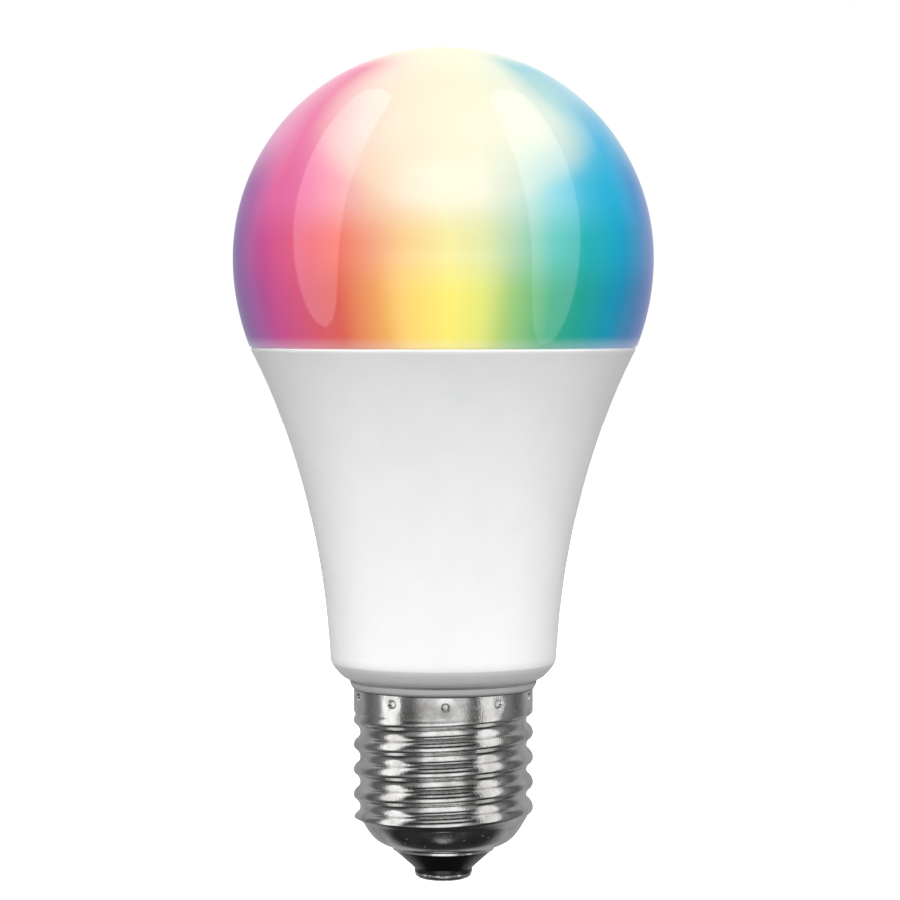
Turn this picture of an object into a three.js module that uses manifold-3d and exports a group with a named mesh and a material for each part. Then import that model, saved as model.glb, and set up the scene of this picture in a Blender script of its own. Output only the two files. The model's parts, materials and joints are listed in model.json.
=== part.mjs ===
// Smart light bulb: an A60 globe on an E27 screw cap, with its driver and radio inside.
// Millimetres, +Z up. The origin is the flat tip of the centre contact, on the bulb's axis.
// The front is -Y: the driver board stands in the XZ plane and faces it.
import * as THREE from "three";
import { mergeVertices } from "three/addons/utils/BufferGeometryUtils.js";
import Module from "manifold-3d";

// ---------- Driving dimensions ----------

// Segments of the faceted rounds.
const BODY_SEGMENTS = 36;
const CAP_SEGMENTS = 28;
const CONTACT_SEGMENTS = 24;
const SMALL_SEGMENTS = 12;
const WIRE_SIDES = 6;

// Gaps between pieces that seat on or slide into each other.
const SEAT_GAP = 0.05;
const FIT_GAP = 0.15;

// Globe and diffuser. The globe's centre stands this far above the housing's rim.
const GLOBE_DIAMETER = 61;
const GLOBE_RISE = 12.8;
const DIFFUSER_WALL = 1.6;
const PLUG_DEPTH = 2.25;
const PLUG_WALL = 1.5;
const SNAP_BEAD = 0.25;

// Housing: the flare from the rim down to the waist, then the shoulder and the collar.
const RIM_DIAMETER = 56.2;
const RIM_ROUND = 0.5;
const FLARE_HEIGHT = 44.5;
const WAIST_DIAMETER = 33;
const SHOULDER_HEIGHT = 3.85;
const HOUSING_WALL = 2;
const WAIST_WALL = 3;
const RIM_LAND = 2.55;
const LEDGE_DEPTH = 2.8;
const FLARE_RIM_LEAN = 0.53;
const FLARE_WAIST_LEAN = 0.06;
const FLARE_RIM_PULL = 0.159;
const FLARE_WAIST_PULL = 0.493;
const COLLAR_LIP = 0.6;
const COLLAR_HEIGHT = 1.3;
const COLLAR_CHAMFER = 0.35;
const FLOOR_THICKNESS = 2.25;
const NECK_WALL = 1.9;
const NECK_FOOT_GAP = 3.25;

// Screw cap, standard size E27.
const THREAD_DIAMETER = 26.2;
const THREAD_DEPTH = 0.95;
const THREAD_PITCH = 3.629;
const CREST_BELOW_SKIRT = 6;
const SKIRT_INSET = 0.05;
const SKIRT_TOP_Z = 28;
const SKIRT_LENGTH = 3.2;
const THREAD_FADE = 0.9;
const SHELL_WALL = 0.4;
const BOWL_TOP_Z = 9.3;
const THREAD_STEPS_PER_TURN = 5;
const NECK_GAP = 0.25;
const LIP_Z = 4.4;
const LIP_INSET = 5.425;
const BOWL_INSETS = [0.75, 2.2, 2.6];
const BOWL_RISES = [4.3, 2.1, 1.1];
const STAKES = 10;
const STAKE_DROP = 1.3;
const STAKE_RADIUS = 0.62;
const STAKE_DEPTH = 0.38;
const STAKE_FIRST_DEG = 1.5;

// Cap insulator and centre contact.
const GLASS_FOOT_RADIUS = 4.2;
const GLASS_FOOT_Z = 1.2;
const GLASS_FLANGE_RISE = 0.9;
const GLASS_FLANGE_LIP = 1.4;
const GLASS_FLANGE_HEIGHT = 2;
const CONTACT_INSET = 0.1;
const CONTACT_FLAT_RADIUS = 1.7;
const CONTACT_SHANK_RADIUS = 1.55;
const CONTACT_SHANK_LENGTH = 7.4;
const CONTACT_BORE_RADIUS = 0.65;

// Heat sink: an aluminium cup with its floor upwards, pressed up into the housing.
const PLATE_THICKNESS = 1.2;
const SINK_WALL = 0.9;
const SINK_HEIGHT = 30;

// LED board and what is on it.
const PAD_THICKNESS = 0.3;
const PAD_MARGIN = 1.3;
const BOARD_THICKNESS = 1.2;
const BOARD_MARGIN = 0.6;
const LED_RING_MARGIN = 5.3;
const LED_SIZE = [3.5, 2.8, 0.7];
const LEDS_PER_WHITE = 6;
const RGB_RING_MARGIN = 10.4;
const RGB_SIZE = [5, 5, 1.5];
const RGB_LEDS = 4;
const SCREWS = 3;
const SCREW_RING_MARGIN = 3;
const SCREW_RADIUS = 1.2;
const SCREW_LENGTH = 4.2;
const SCREW_HEAD_RADIUS = 2;
const SCREW_HEAD_HEIGHT = 1.1;
const SCREW_HOLE_GAP = 0.1;

// Driver board, upright on the bulb's axis, with a narrow tail in the neck.
const DRIVER_THICKNESS = 1.2;
const DRIVER_EDGE_GAP = 0.9;
const DRIVER_TAIL_GAP = 2.1;
const DRIVER_TOP_GAP = 3.6;
const DRIVER_STEP_RISE = 4.4;
const DRIVER_FOOT_GAP = 2.95;
const SLEEVE_WALL = 0.4;
const SLEEVE_GAP = 0.2;
const SLEEVE_TOP_GAP = 1.1;
const SOLDER_GAP = 0.1;

// Parts on the driver board. The tallest fill the room between the board and the sleeve but for a gap,
// and the capacitors stop short of what is above them.
const INPUT_CAP_GAP = 2.2;
const INPUT_CAP_TOP_GAP = 1.45;
const BACK_PAIR_GAP = 3.25;
const BACK_PAIR_SPREAD = 1;
const BACK_PAIR_TOP_GAP = 2.95;
const INDUCTOR = { drop: 2, cheek: 1.2, groove: 1 };
const CORE = { width: 12, height: 12, leg: 3.2, yoke: 2.2 };
const CORE_X = -2;
const WINDING_GAP = 2.7;
const WINDING_OVERHANG = 2;
const FILM_CAP_SIZE = [10, 5, 8.5];
const FUSE = { radius: 1.5, length: 8, x: -4, rise: 2.5 };
const VARISTOR = { radius: 3.5, thickness: 3, rise: 6 };
const CHIP_EDGE = 4;
const BRIDGE_SIZE = [4.7, 1.5, 4];
const DRIVER_CHIP_SIZE = [3.9, 1.5, 4.9];
const LED_CHIP_SIZE = [3.9, 1.2, 3.9];

// Radio module: a small board that stands up through the LED board, so its antenna clears the metal.
const RADIO_WIDTH = 15;
const RADIO_THICKNESS = 0.8;
const RADIO_OFFSET_Y = 3;
const RADIO_BELOW_PLATE = 12.5;
const RADIO_ABOVE_BOARD = 7.6;
const RADIO_FOOT_GAP = 0.6;
const RADIO_SLOT_GAP = 0.6;
const SHIELD = { width: 12.4, height: 10.5, depth: 1.8, wall: 0.3, rise: 0.8 };

// Pin header from the driver board up to the LED board's connector.
const PINS = 5;
const PIN_PITCH = 2;
const PIN_WIDTH = 0.6;
const PIN_HOLE_GAP = 0.15;
const HEADER_BASE = { height: 2.5, depth: 2.4, overhang: 0.4 };
const CONNECTOR = { height: 3, depth: 3.4, overhang: 1.2 };

// Mains leads inside the neck.
const LEAD_RADIUS = 0.45;
const LEAD_STEPS = 12;
const GROOVE_WIDTH = 1.5;
const GROOVE_FLOOR = 0.95;

// ---------- Places that follow from the dimensions ----------

const skirtRadius = THREAD_DIAMETER / 2 - SKIRT_INSET;
const skirtBoreRadius = skirtRadius - SHELL_WALL;
const threadAmplitude = THREAD_DEPTH / 2;
const threadMeanRadius = THREAD_DIAMETER / 2 - threadAmplitude;
const threadTopZ = SKIRT_TOP_Z - SKIRT_LENGTH;
const stakeZ = SKIRT_TOP_Z - STAKE_DROP;

const lipRadius = threadMeanRadius - LIP_INSET;
const contactRadius = GLASS_FOOT_RADIUS - CONTACT_INSET;
const contactHeadZ = GLASS_FOOT_Z - SEAT_GAP;
const shankTopZ = contactHeadZ + CONTACT_SHANK_LENGTH;

const collarRadius = skirtRadius + COLLAR_LIP;
const collarBottomZ = SKIRT_TOP_Z + SEAT_GAP;
const collarTopZ = collarBottomZ + COLLAR_HEIGHT;
const floorZ = collarTopZ + FLOOR_THICKNESS;
const neckRadius = threadMeanRadius - threadAmplitude - SHELL_WALL - NECK_GAP;
const neckBoreRadius = neckRadius - NECK_WALL;
const neckBottomZ = BOWL_TOP_Z + NECK_FOOT_GAP;

const waistRadius = WAIST_DIAMETER / 2;
const waistZ = collarTopZ + SHOULDER_HEIGHT;
const rimRadius = RIM_DIAMETER / 2;
const rimZ = waistZ + FLARE_HEIGHT;
const ledgeZ = rimZ - LEDGE_DEPTH;
const ledgeRadius = rimRadius - RIM_LAND;
const plugRadius = ledgeRadius - FIT_GAP;
const plugBoreRadius = plugRadius - PLUG_WALL;
const plugBottomZ = rimZ - PLUG_DEPTH;
const globeRadius = GLOBE_DIAMETER / 2;
const globeCentreZ = rimZ + GLOBE_RISE;

const plateTopZ = ledgeZ - FIT_GAP;
const plateBottomZ = plateTopZ - PLATE_THICKNESS;
const padBottomZ = plateTopZ + SEAT_GAP;
const padTopZ = padBottomZ + PAD_THICKNESS;
const boardBottomZ = padTopZ + SEAT_GAP;
const boardTopZ = boardBottomZ + BOARD_THICKNESS;
const boardRadius = plugBoreRadius - BOARD_MARGIN;
const ledSeatZ = boardTopZ + SEAT_GAP;
const ledRingRadius = boardRadius - LED_RING_MARGIN;
const rgbRingRadius = boardRadius - RGB_RING_MARGIN;
const screwRingRadius = boardRadius - SCREW_RING_MARGIN;

const sleeveRadius = waistRadius - WAIST_WALL - SLEEVE_GAP;
const sleeveBoreRadius = sleeveRadius - SLEEVE_WALL;
const driverHalfWidth = sleeveBoreRadius - DRIVER_EDGE_GAP;
const driverTailHalf = neckBoreRadius - DRIVER_TAIL_GAP;
const driverTopZ = plateBottomZ - DRIVER_TOP_GAP;
const driverStepZ = floorZ + DRIVER_STEP_RISE;
const driverBottomZ = neckBottomZ + DRIVER_FOOT_GAP;
const driverFace = DRIVER_THICKNESS / 2 + SOLDER_GAP;
const radioBottomZ = plateBottomZ - RADIO_BELOW_PLATE;
const radioTopZ = boardTopZ + RADIO_ABOVE_BOARD;
const headerY = -driverFace - HEADER_BASE.depth / 2;
const pinTopZ = boardTopZ + CONNECTOR.height - 1;
const canZ = driverStepZ + 1;
const inputCapRadius = (sleeveBoreRadius - driverFace - INPUT_CAP_GAP) / 2;
const backPairRadius = (sleeveBoreRadius - BACK_PAIR_GAP) / (1 + Math.SQRT2);
const windingDepth = sleeveBoreRadius - driverFace - WINDING_GAP;
const coreDepth = windingDepth - 2 * WINDING_OVERHANG;
const coreY = -driverFace - windingDepth / 2;
const coreZ = driverTopZ - CORE.height - HEADER_BASE.height - 1;
const filmCapZ = radioBottomZ - FILM_CAP_SIZE[2] - RADIO_FOOT_GAP;
const inputCapHeight = coreZ - canZ - INPUT_CAP_TOP_GAP;
const outputCapHeight = filmCapZ - canZ - BACK_PAIR_TOP_GAP;

// ---------- Solids ----------

const wasm = await Module();
wasm.setup();

const point = (x, y) => new THREE.Vector2(x, y);

// A geometry as a manifold-3d solid.
function solidOf(geometry) {
  const bare = geometry.index ? geometry.toNonIndexed() : geometry.clone();
  bare.deleteAttribute("normal");
  bare.deleteAttribute("uv");
  const merged = mergeVertices(bare, 1e-3);
  return new wasm.Manifold(
    new wasm.Mesh({
      numProp: 3,
      vertProperties: merged.attributes.position.array,
      triVerts: new Uint32Array(merged.index.array),
    }),
  );
}

// A manifold-3d solid as a geometry with flat normals.
function geometryOf(solid) {
  const mesh = solid.getMesh();
  const geometry = new THREE.BufferGeometry();
  geometry.setAttribute("position", new THREE.BufferAttribute(mesh.vertProperties, 3));
  geometry.setIndex(new THREE.BufferAttribute(mesh.triVerts, 1));
  const flat = geometry.toNonIndexed();
  flat.computeVertexNormals();
  return flat;
}

const cut = (geometry, tools) =>
  geometryOf(tools.reduce((rest, tool) => rest.subtract(solidOf(tool)), solidOf(geometry)));

const join = (geometries) =>
  geometryOf(geometries.map(solidOf).reduce((whole, piece) => whole.add(piece)));

// A solid of revolution about +Z. The profile, as [radius, height] pairs, runs clockwise:
// down the outside and up the inside.
function turned(profile, segments = BODY_SEGMENTS) {
  const points = profile.map(([radius, height]) => point(radius, height));
  if (points[0].x > 0) points.push(points[0].clone());
  return new THREE.LatheGeometry(points.reverse(), segments).rotateX(Math.PI / 2);
}

// A round bar from z = bottom to z = top.
function bar(radius, bottom, top, segments = SMALL_SEGMENTS) {
  return turned([[0, top], [radius, top], [radius, bottom], [0, bottom]], segments);
}

function tube(outer, inner, bottom, top, segments = BODY_SEGMENTS) {
  return turned([[outer, top], [outer, bottom], [inner, bottom], [inner, top]], segments);
}

// A box by its size, standing on z = bottom and centred on x and y.
function block([width, depth, height], x, y, bottom) {
  return new THREE.BoxGeometry(width, depth, height).translate(x, y, bottom + height / 2);
}

// A flat shape in XY, raised from z = bottom by its thickness.
function slab(shape, bottom, thickness, curveSegments = 12) {
  const options = { depth: thickness, bevelEnabled: false, curveSegments };
  return new THREE.ExtrudeGeometry(shape, options).translate(0, 0, bottom);
}

function rectangle(width, depth, x = 0, y = 0) {
  const corners = [[-1, -1], [1, -1], [1, 1], [-1, 1]];
  return new THREE.Shape(corners.map(([i, j]) => point(x + (i * width) / 2, y + (j * depth) / 2)));
}

function circle(radius, x = 0, y = 0) {
  return new THREE.Shape().absarc(x, y, radius, 0, 2 * Math.PI);
}

// A round wire along a smooth curve through the given points.
function wire(points, radius) {
  const path = new THREE.CatmullRomCurve3(points.map((p) => new THREE.Vector3(...p)));
  const ring = Array.from({ length: WIRE_SIDES }, (_, i) => (2 * Math.PI * i) / WIRE_SIDES);
  const section = new THREE.Shape(ring.map((a) => point(radius * Math.cos(a), radius * Math.sin(a))));
  return new THREE.ExtrudeGeometry(section, { steps: LEAD_STEPS, extrudePath: path });
}

const smoothstep = (value, low, high) => THREE.MathUtils.smoothstep(value, low, high);

const around = (count, make, firstDeg = 0) =>
  Array.from({ length: count }, (_, i) => make(THREE.MathUtils.degToRad(firstDeg + (360 * i) / count), i));

// ---------- Curves that pieces share ----------

// The outside of the housing between the rim and the waist.
const flare = new THREE.CubicBezierCurve(
  point(rimRadius, rimZ),
  point(
    rimRadius - FLARE_HEIGHT * FLARE_RIM_PULL * FLARE_RIM_LEAN,
    rimZ - FLARE_HEIGHT * FLARE_RIM_PULL,
  ),
  point(
    waistRadius + FLARE_HEIGHT * FLARE_WAIST_PULL * FLARE_WAIST_LEAN,
    waistZ + FLARE_HEIGHT * FLARE_WAIST_PULL,
  ),
  point(waistRadius, waistZ),
);

function flareRadius(z) {
  let above = 0;
  let below = 1;
  for (let i = 0; i < 30; i++) {
    const middle = (above + below) / 2;
    if (flare.getPoint(middle).y > z) above = middle;
    else below = middle;
  }
  return flare.getPoint(above).x;
}

// Points along an arc in the profile plane, by its centre and its angles above level.
function arc([centreRadius, centreZ], radius, from, to, steps) {
  return Array.from({ length: steps + 1 }, (_, i) => {
    const angle = from + ((to - from) * i) / steps;
    const reach = centreRadius + radius * Math.cos(angle);
    return [reach < 1e-6 ? 0 : reach, centreZ + radius * Math.sin(angle)];
  });
}

// Points down a wall that keeps a level distance inside the flare.
function insideFlare(inset, top, bottom, steps) {
  return Array.from({ length: steps + 1 }, (_, i) => {
    const z = top + ((bottom - top) * i) / steps;
    return [flareRadius(z) - inset, z];
  });
}

// How far a knuckle thread stands out from its mean radius: a right-hand helix that fades into the skirt
// above and the bowl below.
function threadOffset(z, angle) {
  const fadeTop = 1 - smoothstep(z, threadTopZ - THREAD_FADE, threadTopZ);
  const fadeBottom = smoothstep(z, BOWL_TOP_Z - 1.5 * THREAD_FADE, BOWL_TOP_Z);
  const turns = (z - SKIRT_TOP_Z + CREST_BELOW_SKIRT) / THREAD_PITCH - angle / (2 * Math.PI);
  return threadAmplitude * fadeTop * fadeBottom * Math.cos(2 * Math.PI * turns);
}

// Rolls the thread into every wall of a turned geometry that lies outside the given radius.
function rollThread(geometry, outside) {
  const position = geometry.attributes.position;
  for (let i = 0; i < position.count; i++) {
    const [x, y, z] = [position.getX(i), position.getY(i), position.getZ(i)];
    const radius = Math.hypot(x, y);
    if (radius < outside) continue;
    const scale = (radius + threadOffset(z, Math.atan2(y, x))) / radius;
    position.setXY(i, x * scale, y * scale);
  }
  return geometry;
}

// Blunt punches at the stake marks, each reaching the given depth into the skirt's outside.
function stakePunches(radius, depth) {
  const length = depth + 1;
  return around(
    STAKES,
    (angle) =>
      new THREE.CylinderGeometry(radius, radius * 0.6, length, 8)
        .rotateZ(-Math.PI / 2)
        .translate(skirtRadius - depth + length / 2, 0, 0)
        .rotateZ(angle)
        .translate(0, 0, stakeZ),
    STAKE_FIRST_DEG - 90,
  );
}

// ---------- Pieces ----------

// The dome: a globe above its widest circle and a wider arc down to the rim, with a plug that snaps in.
function diffuser() {
  const drop = globeRadius - rimRadius;
  const height = globeCentreZ - rimZ - SEAT_GAP;
  const lowerRadius = (height * height + drop * drop) / (2 * drop);
  const lowerCentre = globeRadius - lowerRadius;
  const shelfZ = rimZ + DIFFUSER_WALL;

  function dome(inset, endZ) {
    const radius = lowerRadius - inset;
    const end = -Math.asin((globeCentreZ - endZ) / radius);
    return [
      ...arc([0, globeCentreZ], globeRadius - inset, Math.PI / 2, 0, 9),
      ...arc([lowerCentre, globeCentreZ], radius, 0, end, 3).slice(1),
    ];
  }

  const beadZ = (rimZ + plugBottomZ) / 2;
  return turned([
    ...dome(0, rimZ + SEAT_GAP),
    [plugRadius, rimZ + SEAT_GAP],
    [plugRadius, beadZ + SNAP_BEAD],
    [plugRadius + SNAP_BEAD, beadZ],
    [plugRadius, beadZ - SNAP_BEAD],
    [plugRadius, plugBottomZ],
    [plugBoreRadius, plugBottomZ],
    [plugBoreRadius, shelfZ],
    ...dome(DIFFUSER_WALL, shelfZ).reverse(),
  ]);
}

// The white plastic body: flared shell, shoulder, collar, and the neck that the cap is staked to.
function housing() {
  const rimTop = flareRadius(rimZ - RIM_ROUND);
  const shoulder = new THREE.QuadraticBezierCurve(
    point(waistRadius, waistZ),
    point(waistRadius - 0.5, collarTopZ + 1.05),
    point(collarRadius, collarTopZ),
  );
  const grooveZ = (rimZ + plugBottomZ) / 2;
  const grooveReach = SNAP_BEAD + FIT_GAP;
  const skirtBore = skirtBoreRadius - FIT_GAP;
  const stakeGroove = STAKE_DEPTH + FIT_GAP;
  const stakeHalf = STAKE_RADIUS + SHELL_WALL;
  const shell = turned([
    [rimRadius - RIM_ROUND, rimZ],
    [rimRadius - RIM_ROUND * 0.3, rimZ - RIM_ROUND * 0.15],
    [rimTop, rimZ - RIM_ROUND],
    ...insideFlare(0, rimZ - 2 * RIM_ROUND, waistZ, 11),
    ...shoulder.getPoints(4).slice(1).map((p) => [p.x, p.y]),
    [collarRadius, collarBottomZ + COLLAR_CHAMFER],
    [collarRadius - COLLAR_CHAMFER, collarBottomZ],
    [skirtBore, collarBottomZ],
    [skirtBore, stakeZ + stakeHalf],
    [skirtBore - stakeGroove, stakeZ + STAKE_RADIUS],
    [skirtBore - stakeGroove, stakeZ - STAKE_RADIUS],
    [skirtBore, stakeZ - stakeHalf],
    [skirtBore, threadTopZ + THREAD_FADE / 2],
    [neckRadius, threadTopZ],
    [neckRadius, neckBottomZ + 0.5],
    [neckRadius - 0.5, neckBottomZ],
    [neckBoreRadius, neckBottomZ],
    [neckBoreRadius, floorZ],
    [waistRadius - WAIST_WALL, floorZ],
    ...insideFlare(HOUSING_WALL, ledgeZ, waistZ + 0.5, 7).reverse(),
    [ledgeRadius, ledgeZ],
    [ledgeRadius, grooveZ - grooveReach],
    [ledgeRadius + SNAP_BEAD, grooveZ],
    [ledgeRadius, grooveZ + grooveReach],
    [ledgeRadius, rimZ],
  ]);
  const grooveDepth = neckRadius - neckBoreRadius - GROOVE_FLOOR;
  const leadGroove = block(
    [2 * grooveDepth, GROOVE_WIDTH, threadTopZ - neckBottomZ],
    neckRadius,
    0,
    neckBottomZ - 1,
  );
  return cut(shell, [leadGroove]);
}

// The cap's metal shell: one thin wall with the thread rolled through it, staked to the neck.
function screwShell() {
  const threadSteps = Math.round(((threadTopZ - BOWL_TOP_Z) / THREAD_PITCH) * THREAD_STEPS_PER_TURN);
  const outside = [[skirtRadius, SKIRT_TOP_Z], [skirtRadius, threadTopZ]];
  for (let i = 1; i <= threadSteps; i++) {
    const z = threadTopZ - ((threadTopZ - BOWL_TOP_Z) * i) / threadSteps;
    const fade = smoothstep(z, threadTopZ - THREAD_FADE, threadTopZ);
    outside.push([THREE.MathUtils.lerp(threadMeanRadius, skirtRadius, fade), z]);
  }
  const bowlPoints = BOWL_INSETS.map((inset, i) => point(threadMeanRadius - inset, LIP_Z + BOWL_RISES[i]));
  const bowl = new THREE.CubicBezierCurve(...bowlPoints, point(lipRadius, LIP_Z));
  outside.push(...bowl.getPoints(5).map((p) => [p.x, p.y]));
  const inside = outside
    .map(([radius, z]) => {
      const inBowl = z < BOWL_TOP_Z;
      return inBowl
        ? [radius - SHELL_WALL * smoothstep(z, LIP_Z, BOWL_TOP_Z), z + SHELL_WALL * 0.9]
        : [radius - SHELL_WALL, z];
    })
    .reverse();
  const shell = rollThread(turned([...outside, ...inside], CAP_SEGMENTS), lipRadius + 1);
  const bossed = join([shell, ...stakePunches(STAKE_RADIUS + SHELL_WALL, STAKE_DEPTH + SHELL_WALL)]);
  const skirtOutside = tube(
    skirtRadius + 2 * (STAKE_RADIUS + SHELL_WALL),
    skirtRadius,
    stakeZ - 2,
    stakeZ + 2,
  );
  return cut(bossed, [skirtOutside, ...stakePunches(STAKE_RADIUS, STAKE_DEPTH)]);
}

// Black glass between the shell's lip and the contact.
function capInsulator() {
  const flangeZ = LIP_Z + SHELL_WALL + FIT_GAP;
  const throat = lipRadius - SEAT_GAP;
  const cone = new THREE.QuadraticBezierCurve(
    point(throat, LIP_Z),
    point(GLASS_FOOT_RADIUS + 0.35, GLASS_FOOT_Z + 0.95),
    point(GLASS_FOOT_RADIUS, GLASS_FOOT_Z + 0.55),
  );
  const shank = CONTACT_SHANK_RADIUS + SEAT_GAP;
  const flangeTopZ = flangeZ + GLASS_FLANGE_RISE + GLASS_FLANGE_HEIGHT;
  return turned([
    [throat + GLASS_FLANGE_LIP, flangeTopZ],
    [throat + GLASS_FLANGE_LIP, flangeZ + GLASS_FLANGE_RISE],
    [throat, flangeZ],
    ...cone.getPoints(4).map((p) => [p.x, p.y]),
    [GLASS_FOOT_RADIUS, GLASS_FOOT_Z],
    [shank, GLASS_FOOT_Z],
    [shank, flangeTopZ],
  ], CONTACT_SEGMENTS);
}

// The centre contact: a flat-tipped rivet with a bore for the live lead.
function centreContact() {
  const boreBottom = contactHeadZ + 1;
  const tip = new THREE.QuadraticBezierCurve(
    point(contactRadius, contactHeadZ * 0.8),
    point(contactRadius - 0.9, contactHeadZ * 0.12),
    point(CONTACT_FLAT_RADIUS, 0),
  );
  return turned([
    [0, boreBottom],
    [CONTACT_BORE_RADIUS, boreBottom],
    [CONTACT_BORE_RADIUS, shankTopZ],
    [CONTACT_SHANK_RADIUS, shankTopZ],
    [CONTACT_SHANK_RADIUS, contactHeadZ],
    [contactRadius, contactHeadZ],
    ...tip.getPoints(4).map((p) => [p.x, p.y]),
    [0, 0],
  ], CONTACT_SEGMENTS);
}

// Cuts the openings that the heat sink, pad and board share: slots for the radio module and the pins, and
// the screw holes.
function pierce(geometry, bottom, thickness) {
  const radioSlot = rectangle(
    RADIO_WIDTH + RADIO_SLOT_GAP,
    RADIO_THICKNESS + RADIO_SLOT_GAP,
    0,
    RADIO_OFFSET_Y,
  );
  const pinSlot = rectangle(PINS * PIN_PITCH, PIN_WIDTH + 2 * RADIO_SLOT_GAP, 0, headerY);
  const screwHoles = around(
    SCREWS,
    (angle) =>
      circle(
        SCREW_RADIUS + SCREW_HOLE_GAP,
        screwRingRadius * Math.cos(angle),
        screwRingRadius * Math.sin(angle),
      ),
    90,
  );
  const holes = [radioSlot, pinSlot, ...screwHoles];
  return cut(geometry, holes.map((hole) => slab(hole, bottom - 1, thickness + 2, 6)));
}

function roundPlate(radius, bottom, thickness) {
  return pierce(bar(radius, bottom, bottom + thickness, BODY_SEGMENTS), bottom, thickness);
}

function heatSink() {
  const inset = HOUSING_WALL + FIT_GAP;
  const skirtBottomZ = plateTopZ - SINK_HEIGHT;
  const cup = turned([
    [0, plateTopZ],
    [flareRadius(plateTopZ) - inset - 0.5, plateTopZ],
    ...insideFlare(inset, plateTopZ - 0.5, skirtBottomZ, 5),
    ...insideFlare(inset + SINK_WALL, plateBottomZ, skirtBottomZ, 5).reverse(),
    [0, plateBottomZ],
  ]);
  return pierce(cup, plateBottomZ, PLATE_THICKNESS);
}

// A pan-head screw with a cross recess, its head seated on the LED board.
function boardScrew(x, y) {
  const seat = boardTopZ + SEAT_GAP;
  const top = seat + SCREW_HEAD_HEIGHT;
  const screw = turned([
    [0, top],
    [SCREW_HEAD_RADIUS * 0.6, top],
    [SCREW_HEAD_RADIUS, seat + SCREW_HEAD_HEIGHT * 0.4],
    [SCREW_HEAD_RADIUS, seat],
    [SCREW_RADIUS, seat],
    [SCREW_RADIUS, seat - SCREW_LENGTH + 0.6],
    [SCREW_RADIUS * 0.4, seat - SCREW_LENGTH],
    [0, seat - SCREW_LENGTH],
  ], SMALL_SEGMENTS);
  const recess = [[1.8, 0.4, 1], [0.4, 1.8, 1]].map((size) => block(size, 0, 0, top - 0.6));
  return cut(screw, recess).translate(x, y, 0);
}

// A surface-mounted LED: a white package with a shallow well on top.
function ledPackage([length, width, height], x, y, turn) {
  const body = block([length, width, height], 0, 0, ledSeatZ);
  const well = block([length * 0.72, width * 0.72, height], 0, 0, ledSeatZ + height * 0.75);
  return cut(body, [well]).rotateZ(turn).translate(x, y, 0);
}

function driverBoard() {
  const half = driverHalfWidth;
  const tail = driverTailHalf;
  const outline = new THREE.Shape([
    point(-tail, driverBottomZ),
    point(tail, driverBottomZ),
    point(tail, driverStepZ - 2),
    point(half, driverStepZ),
    point(half, driverTopZ),
    point(-half, driverTopZ),
    point(-half, driverStepZ),
    point(-tail, driverStepZ - 2),
  ]);
  return slab(outline, -DRIVER_THICKNESS / 2, DRIVER_THICKNESS).rotateX(Math.PI / 2);
}

// An electrolytic capacitor, standing upright, with a rolled groove near its foot.
function canCapacitor(radius, height) {
  return turned([
    [0, height],
    [radius - 0.4, height],
    [radius, height - 0.4],
    [radius, 2.2],
    [radius - 0.4, 1.8],
    [radius, 1.4],
    [radius, 0.4],
    [radius - 0.4, 0],
    [0, 0],
  ], 16);
}

function inductor(radius, height) {
  const { cheek, groove } = INDUCTOR;
  return turned([
    [0, height],
    [radius, height],
    [radius, height - cheek],
    [radius - groove, height - cheek],
    [radius - groove, cheek],
    [radius, cheek],
    [radius, 0],
    [0, 0],
  ], 16);
}

const coreWindow = (CORE.width - CORE.leg - 2 * CORE.yoke) / 2;

// The transformer's ferrite, as two E halves closed round the winding.
function transformerCore() {
  const { width, height, leg, yoke } = CORE;
  const windows = [-1, 1].map((side) => {
    const size = [coreWindow, coreDepth + 2, height - 2 * yoke];
    return block(size, (side * (leg + coreWindow)) / 2, 0, yoke);
  });
  return cut(block([width, coreDepth, height], 0, 0, 0), windows);
}

function transformerWinding() {
  const { height, leg, yoke } = CORE;
  const outer = rectangle(leg + 2 * (coreWindow - FIT_GAP), windingDepth);
  outer.holes.push(rectangle(leg + 2 * FIT_GAP, coreDepth + 2 * FIT_GAP));
  return slab(outer, yoke + FIT_GAP, height - 2 * yoke - 2 * FIT_GAP);
}

// A moulded chip with legs down both long sides, lying on the board face.
function chip([width, thickness, height], legs) {
  const body = new THREE.BoxGeometry(width, thickness, height);
  const feet = [];
  for (const side of [-1, 1]) {
    for (let i = 0; i < legs; i++) {
      const z = ((i + 0.5) / legs - 0.5) * height;
      const foot = new THREE.BoxGeometry(1, thickness * 0.3, 0.4);
      feet.push(foot.translate((side * (width + 0.6)) / 2, thickness * 0.3, z));
    }
  }
  return join([body, ...feet]);
}

function radioShield() {
  const { width, height, depth, wall } = SHIELD;
  const can = new THREE.BoxGeometry(width, depth, height);
  const inside = new THREE.BoxGeometry(width - 2 * wall, depth, height - 2 * wall).translate(0, -wall, 0);
  return cut(can, [inside]);
}

const pinXs = Array.from({ length: PINS }, (_, i) => (i - (PINS - 1) / 2) * PIN_PITCH);

function pinHeader() {
  const { height, depth, overhang } = HEADER_BASE;
  const bottom = driverTopZ - height;
  const base = block([(PINS - 1) * PIN_PITCH + PIN_WIDTH + 2 * overhang, depth, height], 0, headerY, bottom);
  const pins = pinXs.map((x) =>
    block([PIN_WIDTH, PIN_WIDTH, pinTopZ - bottom - 0.5], x, headerY, bottom + 0.5),
  );
  return join([base, ...pins]);
}

function boardConnector() {
  const { height, depth, overhang } = CONNECTOR;
  const body = block(
    [(PINS - 1) * PIN_PITCH + PIN_WIDTH + 2 * overhang, depth, height],
    0,
    headerY,
    ledSeatZ,
  );
  const hole = PIN_WIDTH + 2 * PIN_HOLE_GAP;
  return cut(body, pinXs.map((x) => block([hole, hole, height + 2], x, headerY, ledSeatZ - 1)));
}

// ---------- Assembly ----------

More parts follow.
